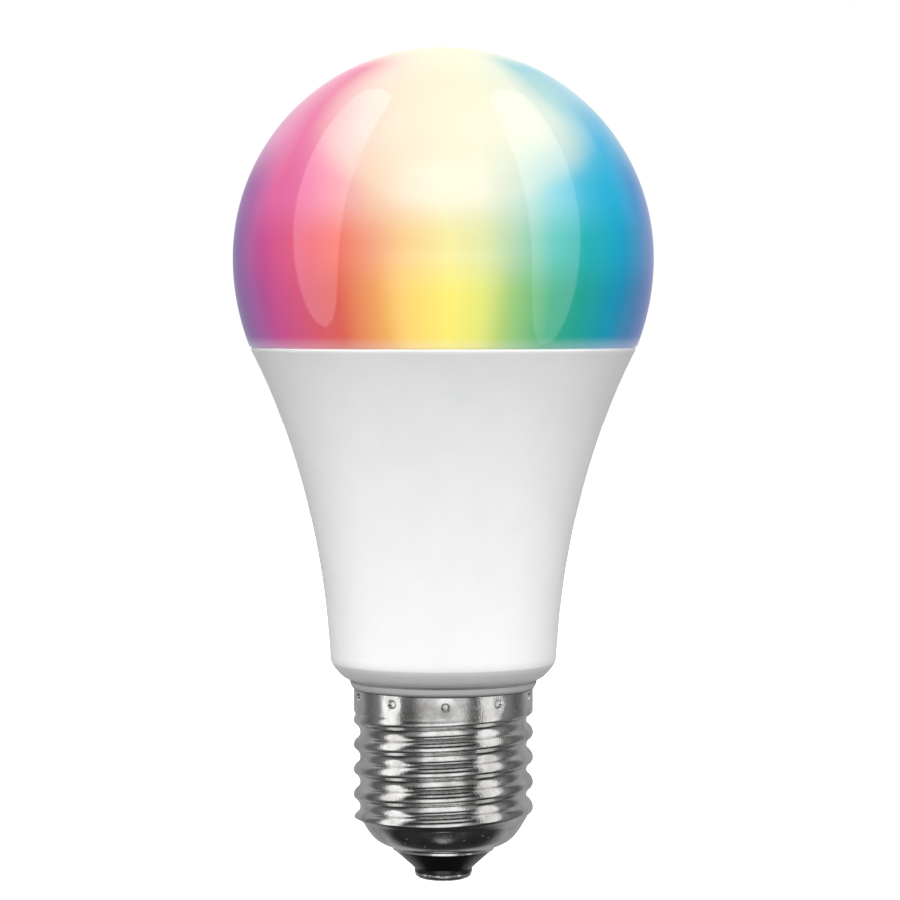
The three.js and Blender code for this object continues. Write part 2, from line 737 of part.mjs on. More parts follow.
const bulb = new THREE.Group();

const finish = {
  opal: { color: 0xfff3c8, roughness: 0.15, metalness: 0 },
  whitePlastic: { color: 0xe9eaea, roughness: 0.45, metalness: 0 },
  nickel: { color: 0xc9c8c4, roughness: 0.16, metalness: 1 },
  blackGlass: { color: 0x0c0c0d, roughness: 0.12, metalness: 0 },
  aluminium: { color: 0xb9bcc0, roughness: 0.4, metalness: 1 },
  silicone: { color: 0xf4f4ef, roughness: 0.6, metalness: 0 },
  thermalPad: { color: 0x8d9aa6, roughness: 0.8, metalness: 0 },
  whiteBoard: { color: 0xf5f5f2, roughness: 0.4, metalness: 0 },
  steel: { color: 0x9da0a3, roughness: 0.3, metalness: 1 },
  coolPhosphor: { color: 0xf3ec9a, roughness: 0.5, metalness: 0 },
  warmPhosphor: { color: 0xf2b24b, roughness: 0.5, metalness: 0 },
  ledWhite: { color: 0xf0f0ee, roughness: 0.4, metalness: 0 },
  greenBoard: { color: 0x1f6b3a, roughness: 0.4, metalness: 0 },
  film: { color: 0xdadad2, roughness: 0.35, metalness: 0 },
  blackSleeve: { color: 0x1b1c20, roughness: 0.4, metalness: 0 },
  ferrite: { color: 0x3a3a3d, roughness: 0.6, metalness: 0.1 },
  copperTape: { color: 0xd9b23a, roughness: 0.35, metalness: 0 },
  copper: { color: 0xb8693a, roughness: 0.3, metalness: 1 },
  blueEpoxy: { color: 0x27569b, roughness: 0.3, metalness: 0 },
  yellowBox: { color: 0xe3c33c, roughness: 0.4, metalness: 0 },
  blackMould: { color: 0x202022, roughness: 0.5, metalness: 0 },
  tinned: { color: 0xc4c5c6, roughness: 0.25, metalness: 1 },
  blueBoard: { color: 0x1d3f86, roughness: 0.4, metalness: 0 },
  redLead: { color: 0xb42a23, roughness: 0.45, metalness: 0 },
};

function add(name, geometry, look, [x, y, z] = [0, 0, 0]) {
  const mesh = new THREE.Mesh(geometry, new THREE.MeshStandardMaterial(look));
  mesh.name = name;
  mesh.position.set(x, y, z);
  bulb.add(mesh);
}

// Casing and cap.
add("diffuser", diffuser(), finish.opal);
add("housing", housing(), finish.whitePlastic);
add("screw_shell", screwShell(), finish.nickel);
add("cap_insulator", capInsulator(), finish.blackGlass);
add("centre_contact", centreContact(), finish.tinned);
add(
  "diffuser_sealant",
  tube(ledgeRadius - FIT_GAP, boardRadius + BOARD_MARGIN, ledgeZ + SEAT_GAP, plugBottomZ - SEAT_GAP),
  finish.silicone,
);

// Heat path and LED board.
add("heat_sink", heatSink(), finish.aluminium);
add("thermal_pad", roundPlate(boardRadius - PAD_MARGIN, padBottomZ, PAD_THICKNESS), finish.thermalPad);
add("led_board", roundPlate(boardRadius, boardBottomZ, BOARD_THICKNESS), finish.whiteBoard);
around(
  SCREWS,
  (angle, i) =>
    add(
      `board_screw_${i + 1}`,
      boardScrew(screwRingRadius * Math.cos(angle), screwRingRadius * Math.sin(angle)),
      finish.steel,
    ),
  90,
);

// Cool and warm white LEDs by turns round the outer ring, and the colour LEDs inside them.
around(
  2 * LEDS_PER_WHITE,
  (angle, i) => {
    const tone = i % 2 ? "warm" : "cool";
    const x = ledRingRadius * Math.cos(angle);
    const y = ledRingRadius * Math.sin(angle);
    const look = i % 2 ? finish.warmPhosphor : finish.coolPhosphor;
    add(
      `${tone}_led_${Math.floor(i / 2) + 1}`,
      ledPackage(LED_SIZE, x, y, angle + Math.PI / 2),
      look,
    );
  },
  180 / (2 * LEDS_PER_WHITE),
);
around(
  RGB_LEDS,
  (angle, i) =>
    add(
      `rgb_led_${i + 1}`,
      ledPackage(RGB_SIZE, rgbRingRadius * Math.cos(angle), rgbRingRadius * Math.sin(angle), angle),
      finish.ledWhite,
    ),
);
add("board_connector", boardConnector(), finish.ledWhite);

// Driver.
add("driver_board", driverBoard(), finish.greenBoard);
add(
  "driver_sleeve",
  tube(sleeveRadius, sleeveBoreRadius, floorZ + SEAT_GAP, plateBottomZ - SLEEVE_TOP_GAP, 32),
  finish.film,
);
add("pin_header", pinHeader(), finish.blackMould);
add("input_capacitor", canCapacitor(inputCapRadius, inputCapHeight), finish.blackSleeve, [
  0,
  -driverFace - inputCapRadius,
  canZ,
]);
const backPairX = backPairRadius + BACK_PAIR_SPREAD;
const backPairY = driverFace + backPairRadius;
add("output_capacitor", canCapacitor(backPairRadius, outputCapHeight), finish.blackSleeve, [
  -backPairX,
  backPairY,
  canZ,
]);
add("emi_inductor", inductor(backPairRadius, outputCapHeight - INDUCTOR.drop), finish.copper, [
  backPairX,
  backPairY,
  canZ,
]);
add("transformer_core", transformerCore(), finish.ferrite, [CORE_X, coreY, coreZ]);
add("transformer_winding", transformerWinding(), finish.copperTape, [CORE_X, coreY, coreZ]);
add("film_capacitor", block(FILM_CAP_SIZE, 0, 0, 0), finish.yellowBox, [
  0,
  driverFace + FILM_CAP_SIZE[1] / 2,
  filmCapZ,
]);
const fuseY = -driverFace - FUSE.radius;
const fuseZ = driverBottomZ + FUSE.rise;
add("fuse_resistor", bar(FUSE.radius, 0, FUSE.length), finish.blueEpoxy, [FUSE.x, fuseY, fuseZ]);
add("varistor", bar(VARISTOR.radius, 0, VARISTOR.thickness).rotateX(-Math.PI / 2), finish.blueEpoxy, [
  0,
  driverFace,
  driverBottomZ + VARISTOR.radius + VARISTOR.rise,
]);

// Chips that lie on the board's front, by the height of their middles.
function addChip(name, size, legs, x, z) {
  add(name, chip(size, legs), finish.blackMould, [x, -driverFace - size[1] / 2, z]);
}

addChip("bridge_rectifier", BRIDGE_SIZE, 2, 2.5, driverStepZ - 7);
addChip("driver_chip", DRIVER_CHIP_SIZE, 4, driverHalfWidth - CHIP_EDGE, coreZ + 2.5);
addChip("led_driver_chip", LED_CHIP_SIZE, 3, driverHalfWidth - CHIP_EDGE, coreZ + 9);

// Radio.
add(
  "radio_module",
  block([RADIO_WIDTH, RADIO_THICKNESS, radioTopZ - radioBottomZ], 0, 0, 0),
  finish.blueBoard,
  [0, RADIO_OFFSET_Y, radioBottomZ],
);
add("radio_shield", radioShield(), finish.tinned, [
  0,
  RADIO_OFFSET_Y + RADIO_THICKNESS / 2 + SOLDER_GAP + SHIELD.depth / 2,
  radioBottomZ + SHIELD.height / 2 + SHIELD.rise,
]);

// Live lead, from the contact's bore to the fuse.
const fuseLegZ = fuseZ - SOLDER_GAP - LEAD_RADIUS / 2;
add(
  "live_lead",
  wire(
    [
      [0, 0, GLASS_FOOT_Z + 2],
      [0, 0, shankTopZ - 1.5],
      [0, 0, shankTopZ + 0.5],
      [FUSE.x / 3, fuseY / 2, (shankTopZ + driverBottomZ) / 2],
      [FUSE.x, fuseY, driverBottomZ],
      [FUSE.x, fuseY, fuseLegZ],
    ],
    LEAD_RADIUS,
  ),
  finish.redLead,
);

// Neutral lead, from the driver board round the foot of the neck and up its groove, against the shell.
const neutralX = driverTailHalf - 2;
const neutralY = -driverFace - LEAD_RADIUS;
const grooveX = neckBoreRadius + GROOVE_FLOOR + LEAD_RADIUS + SOLDER_GAP;
const underNeckZ = neckBottomZ - 1.5 * LEAD_RADIUS;
add(
  "neutral_lead",
  wire(
    [
      [neutralX, neutralY, driverBottomZ + 4],
      [neutralX, neutralY, driverBottomZ],
      [neckBoreRadius - 2.6, neutralY / 2, underNeckZ],
      [neckBoreRadius - 0.6, 0, underNeckZ - LEAD_RADIUS],
      [grooveX - 0.2, 0, underNeckZ],
      [grooveX, 0, neckBottomZ + 1.5],
      [grooveX, 0, neckBottomZ + 8],
    ],
    LEAD_RADIUS,
  ),
  finish.copper,
);

export default bulb;
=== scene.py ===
"""The looks of the smart light bulb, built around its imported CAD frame.

Metres, +Z up. The origin is the tip of the centre contact, and the front faces -Y.
Profiles are in millimetres, as (radius, height) pairs that run down the outside and up the inside.
"""

import json
import math

import bmesh
import bpy
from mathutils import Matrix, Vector


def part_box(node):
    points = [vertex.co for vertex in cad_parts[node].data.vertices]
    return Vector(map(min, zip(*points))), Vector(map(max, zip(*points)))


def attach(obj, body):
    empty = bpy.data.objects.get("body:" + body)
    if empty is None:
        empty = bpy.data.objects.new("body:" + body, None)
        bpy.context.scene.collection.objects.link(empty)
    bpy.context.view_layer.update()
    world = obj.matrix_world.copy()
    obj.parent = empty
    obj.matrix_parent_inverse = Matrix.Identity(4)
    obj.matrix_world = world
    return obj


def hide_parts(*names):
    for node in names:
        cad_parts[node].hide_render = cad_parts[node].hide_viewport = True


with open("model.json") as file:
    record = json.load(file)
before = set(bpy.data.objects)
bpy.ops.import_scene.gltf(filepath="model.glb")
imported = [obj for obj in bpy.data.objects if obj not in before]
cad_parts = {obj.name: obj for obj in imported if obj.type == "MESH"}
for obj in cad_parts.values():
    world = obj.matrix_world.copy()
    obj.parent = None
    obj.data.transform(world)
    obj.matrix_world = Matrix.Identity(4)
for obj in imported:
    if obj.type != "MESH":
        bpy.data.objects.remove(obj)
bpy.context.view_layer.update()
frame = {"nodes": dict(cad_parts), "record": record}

MM = 0.001

# ---------- Sizes ----------

# Places that the frame gives, in millimetres.


def top_of(node):
    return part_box(node)[1].z / MM


def foot_of(node):
    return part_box(node)[0].z / MM


def reach_of(node):
    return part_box(node)[1].x / MM


GLOBE_RADIUS = reach_of("diffuser")
GLOBE_TOP_Z = top_of("diffuser")
PLUG_FOOT_Z = foot_of("diffuser")
RIM_Z = top_of("housing")
NECK_FOOT_Z = foot_of("housing")
THREAD_RADIUS = reach_of("screw_shell")
SKIRT_TOP_Z = top_of("screw_shell")
LIP_Z = foot_of("screw_shell")
GLASS_FOOT_Z = foot_of("cap_insulator")
GLASS_TOP_Z = top_of("cap_insulator")
SHANK_TOP_Z = top_of("centre_contact")
CONTACT_RADIUS = reach_of("centre_contact")

# The globe and its plug.
DIFFUSER_WALL = 1.6
SEAT_GAP = 0.05
FIT_ROOM = 0.15
PLUG_RADIUS = 25.4
PLUG_WALL = 1.5
SNAP_BEAD = 0.25

# The housing.
RIM_RADIUS = 28.1
RIM_ROUND = 0.5
LEDGE_RADIUS = 25.55
LEDGE_DEPTH = 2.8
FLARE_HEIGHT = 44.5
FLARE_RIM_LEAN = 0.53
FLARE_RIM_PULL = 0.159
FLARE_WAIST_LEAN = 0.06
FLARE_WAIST_PULL = 0.493
WAIST_RADIUS = 16.5
WAIST_WALL = 3
SHOULDER_HEIGHT = 3.85
HOUSING_WALL = 2
COLLAR_RADIUS = 13.65
COLLAR_HEIGHT = 1.3
FLOOR_THICKNESS = 2.25
NECK_RADIUS = 11.5
NECK_WALL = 1.9

# The screw cap.
THREAD_DEPTH = 0.95
THREAD_PITCH = 3.629
CREST_BELOW_SKIRT = 6.45
SKIRT_RADIUS = 13.05
SKIRT_LENGTH = 3.2
THREAD_FADE = 0.9
BOWL_FADE = 0.6
CREST_FOOT = 0.17
CREST_HEAD = 0.29
SHELL_WALL = 0.4
BOWL_TOP_Z = 9.3
LIP_RADIUS = 7.2
STAKES = 10
STAKE_DROP = 1.3
STAKE_RADIUS = 0.7
STAKE_DEPTH = 0.38
STAKE_FIRST_DEG = -88.5
STAKE_SWAY = 0.65
DENT_DEPTH = 0.05
GLASS_FOOT_RADIUS = 4.2
CONTACT_FLAT_RADIUS = 1.7
SHANK_RADIUS = 1.55
BORE_RADIUS = 0.65

GLOBE_CENTRE_Z = GLOBE_TOP_Z - GLOBE_RADIUS
WAIST_Z = RIM_Z - FLARE_HEIGHT
COLLAR_TOP_Z = WAIST_Z - SHOULDER_HEIGHT
COLLAR_FOOT_Z = COLLAR_TOP_Z - COLLAR_HEIGHT
FLOOR_Z = COLLAR_TOP_Z + FLOOR_THICKNESS
THREAD_MEAN_RADIUS = THREAD_RADIUS - THREAD_DEPTH / 2
THREAD_TOP_Z = SKIRT_TOP_Z - SKIRT_LENGTH
THREAD_FLANK = 2 * math.atan(2 * THREAD_DEPTH / THREAD_PITCH)
STAKE_Z = SKIRT_TOP_Z - STAKE_DROP

# ---------- Curves ----------


def mix(low, high, share):
    return low + (high - low) * share


def smoothstep(value, low, high):
    share = min(1, max(0, (value - low) / (high - low)))
    return share * share * (3 - 2 * share)


def bezier(points, steps):
    """Points along a Bezier curve of any degree, both ends included."""
    curve = []
    for i in range(steps + 1):
        level = points
        while len(level) > 1:
            level = [
                tuple(mix(a, b, i / steps) for a, b in zip(first, second))
                for first, second in zip(level, level[1:])
            ]
        curve.append(level[0])
    return curve


def arc(centre, radius, start_deg, end_deg, steps):
    """Points along an arc, by its angles above level. One on the axis gets a radius of exactly 0."""
    curve = []
    for i in range(steps + 1):
        angle = math.radians(mix(start_deg, end_deg, i / steps))
        reach = centre[0] + radius * math.cos(angle)
        curve.append((0 if reach < 1e-6 else reach, centre[1] + radius * math.sin(angle)))
    return curve


def straight(start, end, steps):
    """Points along a straight line, both ends included."""
    return [tuple(mix(a, b, i / steps) for a, b in zip(start, end)) for i in range(steps + 1)]


def eased(before, corner, after, size, steps=4):
    """A rounded corner that starts and ends the given distance from where the two edges meet."""
    ends = []
    for neighbour in (before, after):
        length = math.dist(corner, neighbour)
        ends.append(tuple(mix(c, n, min(0.5, size / length)) for c, n in zip(corner, neighbour)))
    return bezier([ends[0], corner, ends[1]], steps)


def rounded(corners, size, steps=4):
    """A line through the corners, with every one but its two ends rounded."""
    line = [corners[0]]
    for before, corner, after in zip(corners, corners[1:], corners[2:]):
        line.extend(eased(before, corner, after, size, steps))
    return [*line, corners[-1]]


# ---------- Meshes ----------


def even_angles(count):
    return [2 * math.pi * i / count for i in range(count)]


def finished(name, mesh_in_work, material):
    """The mesh in work as a smooth object in metres that rides with the bulb."""
    for face in mesh_in_work.faces:
        face.smooth = True
    data = bpy.data.meshes.new(name)
    mesh_in_work.to_mesh(data)
    mesh_in_work.free()
    data.materials.append(material)
    piece = bpy.data.objects.new(name, data)
    bpy.context.scene.collection.objects.link(piece)
    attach(piece, "root")
    return piece


def revolved(name, outline, angles, material, shape=None):
    """A closed solid of revolution, in millimetres until its points are placed.

    shape, if given, finds a point's own radius from its radius, height and angle. A point on the axis is a
    ring of one, and its faces are triangles.
    """
    mesh_in_work = bmesh.new()
    rings = []
    for radius, height in outline:
        if radius == 0:
            rings.append([mesh_in_work.verts.new((0, 0, height * MM))])
            continue
        ring = []
        for angle in angles:
            reach = shape(radius, height, angle) if shape else radius
            place = (reach * math.cos(angle) * MM, reach * math.sin(angle) * MM, height * MM)
            ring.append(mesh_in_work.verts.new(place))
        rings.append(ring)
    if outline[0][0] > 0:
        rings.append(rings[0])
    for upper, lower in zip(rings, rings[1:]):
        for i in range(len(angles)):
            j = (i + 1) % len(angles)
            places = ((upper, i), (lower, i), (lower, j), (upper, j))
            corners = dict.fromkeys(ring[k % len(ring)] for ring, k in places)
            mesh_in_work.faces.new(list(corners))
    return finished(name, mesh_in_work, material)


# ---------- Materials ----------


def colour(red, green, blue):
    """A colour by its everyday 0 to 255 values, as linear light."""
    linear = [((c / 255 + 0.055) / 1.055) ** 2.4 if c > 10 else c / 255 / 12.92 for c in (red, green, blue)]
    return (*linear, 1)


class Nodes:
    """Adds shader nodes to a tree. Most calls give the new node's output socket."""

    def __init__(self, tree):
        self.tree = tree

    def add(self, kind, **settings):
        node = self.tree.nodes.new(kind)
        for setting, value in settings.items():
            setattr(node, setting, value)
        return node

    def set(self, node, inputs):
        """Gives a node its inputs: a socket is linked, and anything else is a value."""
        for key, value in inputs.items():
            if isinstance(value, bpy.types.NodeSocket):
                self.tree.links.new(value, node.inputs[key])
            else:
                node.inputs[key].default_value = value
        return node

    def math(self, operation, *values):
        node = self.add("ShaderNodeMath", operation=operation)
        return self.set(node, dict(enumerate(values))).outputs[0]

    def length(self, across, along):
        squared = self.math("MULTIPLY", along, along)
        return self.math("SQRT", self.math("MULTIPLY_ADD", across, across, squared))

    def split(self, vector):
        return self.set(self.add("ShaderNodeSeparateXYZ"), {0: vector}).outputs

    def remap(self, value, low, high, to_low=0.0, to_high=1.0, smooth=True):
        node = self.add("ShaderNodeMapRange", interpolation_type="SMOOTHSTEP" if smooth else "LINEAR")
        inputs = {"Value": value, "From Min": low, "From Max": high, "To Min": to_low, "To Max": to_high}
        return self.set(node, inputs).outputs[0]

    def blend(self, share, first, second):
        node = self.add("ShaderNodeMix", data_type="RGBA")
        return self.set(node, {"Factor": share, 6: first, 7: second}).outputs[2]

    def ramp(self, value, stops, low=0.0, high=1.0):
        """A colour ramp over the value, with its stops given between low and high."""
        node = self.add("ShaderNodeValToRGB")
        elements = node.color_ramp.elements
        while len(elements) < len(stops):
            elements.new(0.5)
        for element, (at, shade) in zip(elements, stops):
            element.position = (at - low) / (high - low)
            element.color = shade
        return self.set(node, {"Fac": self.remap(value, low, high, smooth=False)}).outputs["Color"]


class Finish(Nodes):
    """A procedural material: one Principled shader and the patterns that feed it, in metres."""

    def __init__(self, name, **sockets):
        self.material = bpy.data.materials.new(name)
        self.material.use_nodes = True
        super().__init__(self.material.node_tree)
        self.shader = self.tree.nodes["Principled BSDF"]
        self.place = self.add("ShaderNodeTexCoord").outputs["Object"]
        self.normal = None
        self.feed(**sockets)

    def stretched(self, x, y, z):
        node = self.add("ShaderNodeVectorMath", operation="MULTIPLY")
        return self.set(node, {0: self.place, 1: (x, y, z)}).outputs[0]

    def axes(self):
        return self.split(self.place)

    def noise(self, grain_mm, detail=3, rough=0.55, place=None):
        """Smooth noise from 0 to 1, with grains of about that size."""
        inputs = {
            "Vector": place or self.place,
            "Scale": 1 / (grain_mm * MM),
            "Detail": detail,
            "Roughness": rough,
        }
        return self.set(self.add("ShaderNodeTexNoise"), inputs).outputs["Fac"]

    def cells(self, size_mm, place=None):
        """Scattered points: how far the nearest is, in cell sizes, and a random colour for each."""
        inputs = {"Vector": place or self.place, "Scale": 1 / (size_mm * MM)}
        return self.set(self.add("ShaderNodeTexVoronoi"), inputs).outputs

    def bump(self, height, depth_mm):
        """Raises the surface where height is 1 by depth_mm."""
        inputs = {"Height": height, "Distance": depth_mm * MM}
        if self.normal:
            inputs["Normal"] = self.normal
        self.normal = self.set(self.add("ShaderNodeBump"), inputs).outputs[0]
        self.feed(Normal=self.normal)

    def feed(self, **sockets):
        """Sets the shader's sockets, whose names have _ here where Blender's have a space."""
        self.set(self.shader, {name.replace("_", " "): value for name, value in sockets.items()})


# ---------- Finishes of the shells ----------

# The dome's glow. Each row is a height, as a share of the globe's radius above its centre, and the colours
# round the dome, as 0 to 255 values: from the left side, -1, through the front, 0, to the right side, 1.
CREAM = colour(252, 246, 217)
PALE_GLOW = colour(238, 236, 240)
GLOW_ROWS = (
    (
        -0.2,
        (-1.0, 78, 60, 128),
        (-0.9, 150, 70, 150),
        (-0.78, 204, 82, 146),
        (-0.6, 220, 88, 108),
        (-0.48, 226, 98, 84),
        (-0.33, 243, 158, 94),
        (-0.16, 255, 212, 96),
        (0.03, 253, 238, 98),
        (0.17, 230, 232, 106),
        (0.33, 155, 207, 128),
        (0.5, 52, 176, 130),
        (0.65, 2, 162, 150),
        (0.8, 2, 148, 184),
        (0.9, 10, 114, 170),
        (1.0, 84, 92, 160),
    ),
    (
        0.05,
        (-1.0, 58, 54, 142),
        (-0.9, 172, 74, 152),
        (-0.78, 216, 86, 144),
        (-0.6, 236, 96, 112),
        (-0.48, 244, 118, 106),
        (-0.32, 248, 168, 134),
        (-0.16, 255, 216, 150),
        (0.02, 253, 243, 168),
        (0.17, 235, 239, 174),
        (0.33, 182, 220, 184),
        (0.5, 84, 198, 188),
        (0.65, 12, 178, 178),
        (0.8, 0, 166, 200),
        (0.9, 2, 138, 190),
        (1.0, 104, 112, 172),
    ),
    (
        0.3,
        (-1.0, 112, 70, 142),
        (-0.92, 168, 80, 158),
        (-0.82, 228, 106, 162),
        (-0.66, 236, 116, 164),
        (-0.5, 245, 160, 172),
        (-0.33, 250, 209, 180),
        (-0.17, 255, 233, 207),
        (0.0, 254, 249, 222),
        (0.18, 248, 247, 221),
        (0.34, 215, 236, 220),
        (0.52, 140, 214, 224),
        (0.68, 62, 188, 220),
        (0.84, 0, 173, 216),
        (0.93, 22, 136, 198),
        (1.0, 108, 130, 184),
    ),
    (
        0.62,
        (-1.0, 206, 150, 184),
        (-0.92, 232, 152, 188),
        (-0.78, 236, 120, 166),
        (-0.62, 246, 166, 184),
        (-0.48, 252, 212, 210),
        (-0.25, 254, 238, 214),
        (0.0, 255, 248, 222),
        (0.26, 253, 252, 226),
        (0.52, 244, 249, 230),
        (0.66, 206, 234, 228),
        (0.76, 120, 204, 224),
        (0.84, 44, 180, 222),
        (0.92, 92, 184, 220),
        (1.0, 140, 186, 212),
    ),
    (
        0.82,
        (-1.0, 234, 186, 204),
        (-0.9, 238, 156, 184),
        (-0.78, 238, 138, 168),
        (-0.62, 247, 192, 196),
        (-0.46, 251, 226, 213),
        (-0.25, 253, 240, 216),
        (0.0, 252, 246, 216),
        (0.3, 246, 248, 222),
        (0.5, 232, 243, 226),
        (0.7, 136, 207, 217),
        (0.85, 140, 204, 222),
        (1.0, 180, 216, 226),
    ),
)

# How much of that colour the dome gives off, and how much its skin has.
GLOW_SHARE = 0.78
SKIN_SHARE = 0.18

# A painted reflection of a large soft light: a pale disc high up in front and behind. Its middle, to the
# right and above the globe's centre, its half width and half height, and how far it turns to cream.
REFLECTION_DISC_CENTRE = (1.9, 17.5)
REFLECTION_DISC_HALF = (19.5, 11)
REFLECTION_DISC_SHARE = 0.26


def glow_stops(row):
    return [(side, colour(*shade)) for side, *shade in row[1:]]


def opal_diffuser():
    """Opal plastic lit from inside: colour bands round the globe, a painted reflection, a glossy and
    faintly hazy skin.
    """
    finish = Finish("opal_diffuser", IOR=1.75, Emission_Strength=1.0)
    x, y, z = finish.axes()
    side = finish.math("DIVIDE", x, finish.math("MAXIMUM", finish.length(x, y), 0.1 * MM))
    centred = finish.math("SUBTRACT", z, GLOBE_CENTRE_Z * MM)
    height = finish.math("DIVIDE", centred, GLOBE_RADIUS * MM)
    glow = finish.ramp(side, glow_stops(GLOW_ROWS[0]), low=-1.0)
    for below, above in zip(GLOW_ROWS, GLOW_ROWS[1:]):
        row = finish.ramp(side, glow_stops(above), low=-1.0)
        glow = finish.blend(finish.remap(height, below[0], above[0]), glow, row)
    # Painted reflection: the pale disc high up turns the glow to cream where a large soft light would
    # mirror.
    reflection_x = finish.math("DIVIDE", finish.math("SUBTRACT", x, REFLECTION_DISC_CENTRE[0] * MM), REFLECTION_DISC_HALF[0] * MM)
    reflection_z = finish.math("DIVIDE", finish.math("SUBTRACT", centred, REFLECTION_DISC_CENTRE[1] * MM), REFLECTION_DISC_HALF[1] * MM)
    painted_reflection = finish.remap(finish.length(reflection_x, reflection_z), 1.08, 0.84, 0.0, REFLECTION_DISC_SHARE)
    at_pole = finish.remap(height, 0.87, 0.99)
    at_rim = finish.remap(height, -0.36, -0.42, 0.0, 0.22)
    glow = finish.blend(painted_reflection, glow, CREAM)
    glow = finish.blend(at_pole, glow, CREAM)
    glow = finish.blend(at_rim, glow, PALE_GLOW)
    haze = finish.remap(finish.noise(9, detail=2), 0.3, 0.7, 0.985, 1.0)
    black = colour(0, 0, 0)
    finish.feed(
        Base_Color=finish.blend(finish.math("MULTIPLY", haze, SKIN_SHARE), black, glow),
        Emission_Color=finish.blend(finish.math("MULTIPLY", haze, GLOW_SHARE), black, glow),
        Roughness=finish.remap(finish.noise(0.9), 0.35, 0.75, 0.05, 0.075),
    )
    finish.bump(finish.noise(2.2, detail=1), 0.002)
    return finish.material


def white_housing():
    """Matt white plastic with a fine grain, greyer from the collar down as painted shade under the
    shoulder.
    """
    finish = Finish("white_housing", IOR=1.5)
    mottle = finish.noise(6, detail=4)
    skin = finish.ramp(mottle, ((0.3, colour(236, 237, 237)), (0.7, colour(241, 241, 240))))
    # Painted shade: from the collar down the white blends to the grey core colour, under the mask bare, for
    # the shoulder's shade.
    core = finish.ramp(mottle, ((0.3, colour(188, 188, 187)), (0.7, colour(196, 196, 195))))
    bare = finish.remap(finish.axes()["Z"], (COLLAR_TOP_Z + 0.15) * MM, (COLLAR_TOP_Z - 0.1) * MM)
    finish.feed(
        Base_Color=finish.blend(bare, skin, core),
        Roughness=finish.remap(finish.noise(0.5), 0.3, 0.7, 0.4, 0.5),
    )
    finish.bump(finish.noise(0.35, detail=2), 0.003)
    return finish.material


def nickel_plate():
    """Handled nickel plate: bright and stained, with a fine grain, slight waves and a few specks."""
    finish = Finish("nickel_plate", Metallic=1.0)
    stain = finish.noise(3.5, detail=5)
    grain = finish.noise(0.2, detail=3, rough=0.7)
    flecks = finish.cells(0.8)
    rare = finish.remap(flecks["Color"], 0.62, 0.64)
    fleck = finish.math("MULTIPLY", finish.remap(flecks["Distance"], 0.13, 0.03), rare)
    finish.feed(
        Base_Color=finish.ramp(stain, ((0.28, colour(184, 182, 178)), (0.58, colour(230, 229, 228)))),
        Roughness=finish.remap(grain, 0.35, 0.7, 0.06, 0.15),
    )
    finish.bump(finish.noise(0.2, detail=2, rough=0.7, place=finish.stretched(1, 1, 0.4)), 0.014)
    finish.bump(finish.noise(1.3, detail=2), 0.01)
    finish.bump(fleck, 0.05)
    return finish.material


def black_glass():
    """Black glass, a little uneven, with a few pale specks in it."""
    finish = Finish("black_glass", IOR=1.55)
    specks = finish.cells(0.7)
    rare = finish.remap(specks["Color"], 0.8, 0.82)
    speck = finish.math("MULTIPLY", finish.remap(specks["Distance"], 0.16, 0.08), rare)
    finish.feed(
        Base_Color=finish.blend(speck, colour(20, 20, 21), colour(150, 150, 150)),
        Roughness=finish.remap(finish.noise(0.6), 0.35, 0.7, 0.08, 0.24),
    )
    finish.bump(finish.noise(1.1), 0.03)
    return finish.material


def tinned_contact():
    """Dipped tin: lumpy, bright where it is thick and duller where it isn't."""
    finish = Finish("tinned_contact", Metallic=1.0)
    dross = finish.noise(0.8, detail=4, rough=0.6)
    finish.feed(
        Base_Color=finish.ramp(dross, ((0.35, colour(120, 119, 117)), (0.6, colour(214, 213, 210)))),
        Roughness=finish.remap(dross, 0.35, 0.65, 0.45, 0.2),
    )
    finish.bump(dross, 0.06)
    return finish.material


# ---------- Finishes of the parts inside ----------

RECORD_COLOUR = {entry["slot"]: (*entry["base_color"][:3], 1) for entry in frame["record"]["materials"]}
LED_RING = 18
COLOUR_RING = 12.9
LED_BOARD_TOP_Z = top_of("led_board")


def shaded(slot, share):
    """The record's colour for a slot, made lighter or darker."""
    return (*(min(1, c * share) for c in RECORD_COLOUR[slot][:3]), 1)


def waves(finish, value, pitch_mm):
    """Even lines from 0 to 1 along a value in metres."""
    turned = finish.math("SINE", finish.math("MULTIPLY", value, 2 * math.pi / (pitch_mm * MM)))
    return finish.math("MULTIPLY_ADD", turned, 0.5, 0.5)


def moulded(slot, rough=0.42):
    """Moulded plastic: a faint mottle and a fine spark-eroded texture."""
    finish = Finish(slot)
    mottle = finish.noise(2.5, detail=4)
    finish.feed(
        Base_Color=finish.ramp(mottle, ((0.3, shaded(slot, 0.85)), (0.7, shaded(slot, 1.1)))),
        Roughness=finish.remap(finish.noise(0.6), 0.3, 0.7, rough - 0.08, rough + 0.1),
    )
    finish.bump(finish.noise(0.15, detail=2), 0.008)
    finish.bump(mottle, 0.02)
    return finish.material


def sheet_metal(slot, rough=0.32):
    """Pressed or plated metal: drawn lines up its height, dull patches and a few scratches."""
    finish = Finish(slot, Metallic=1.0)
    lines = finish.noise(0.25, detail=3, place=finish.stretched(1, 1, 0.06))
    patches = finish.noise(4, detail=5, rough=0.65)
    scratches = finish.remap(finish.cells(1.6, place=finish.stretched(1, 0.08, 1))["Distance"], 0.05, 0.01)
    worn = finish.ramp(patches, ((0.3, shaded(slot, 0.72)), (0.65, shaded(slot, 1.08))))
    finish.feed(
        Base_Color=finish.blend(scratches, worn, shaded(slot, 1.3)),
        Roughness=finish.remap(lines, 0.3, 0.7, rough - 0.12, rough + 0.14),
    )
    finish.bump(lines, 0.01)
    return finish.material


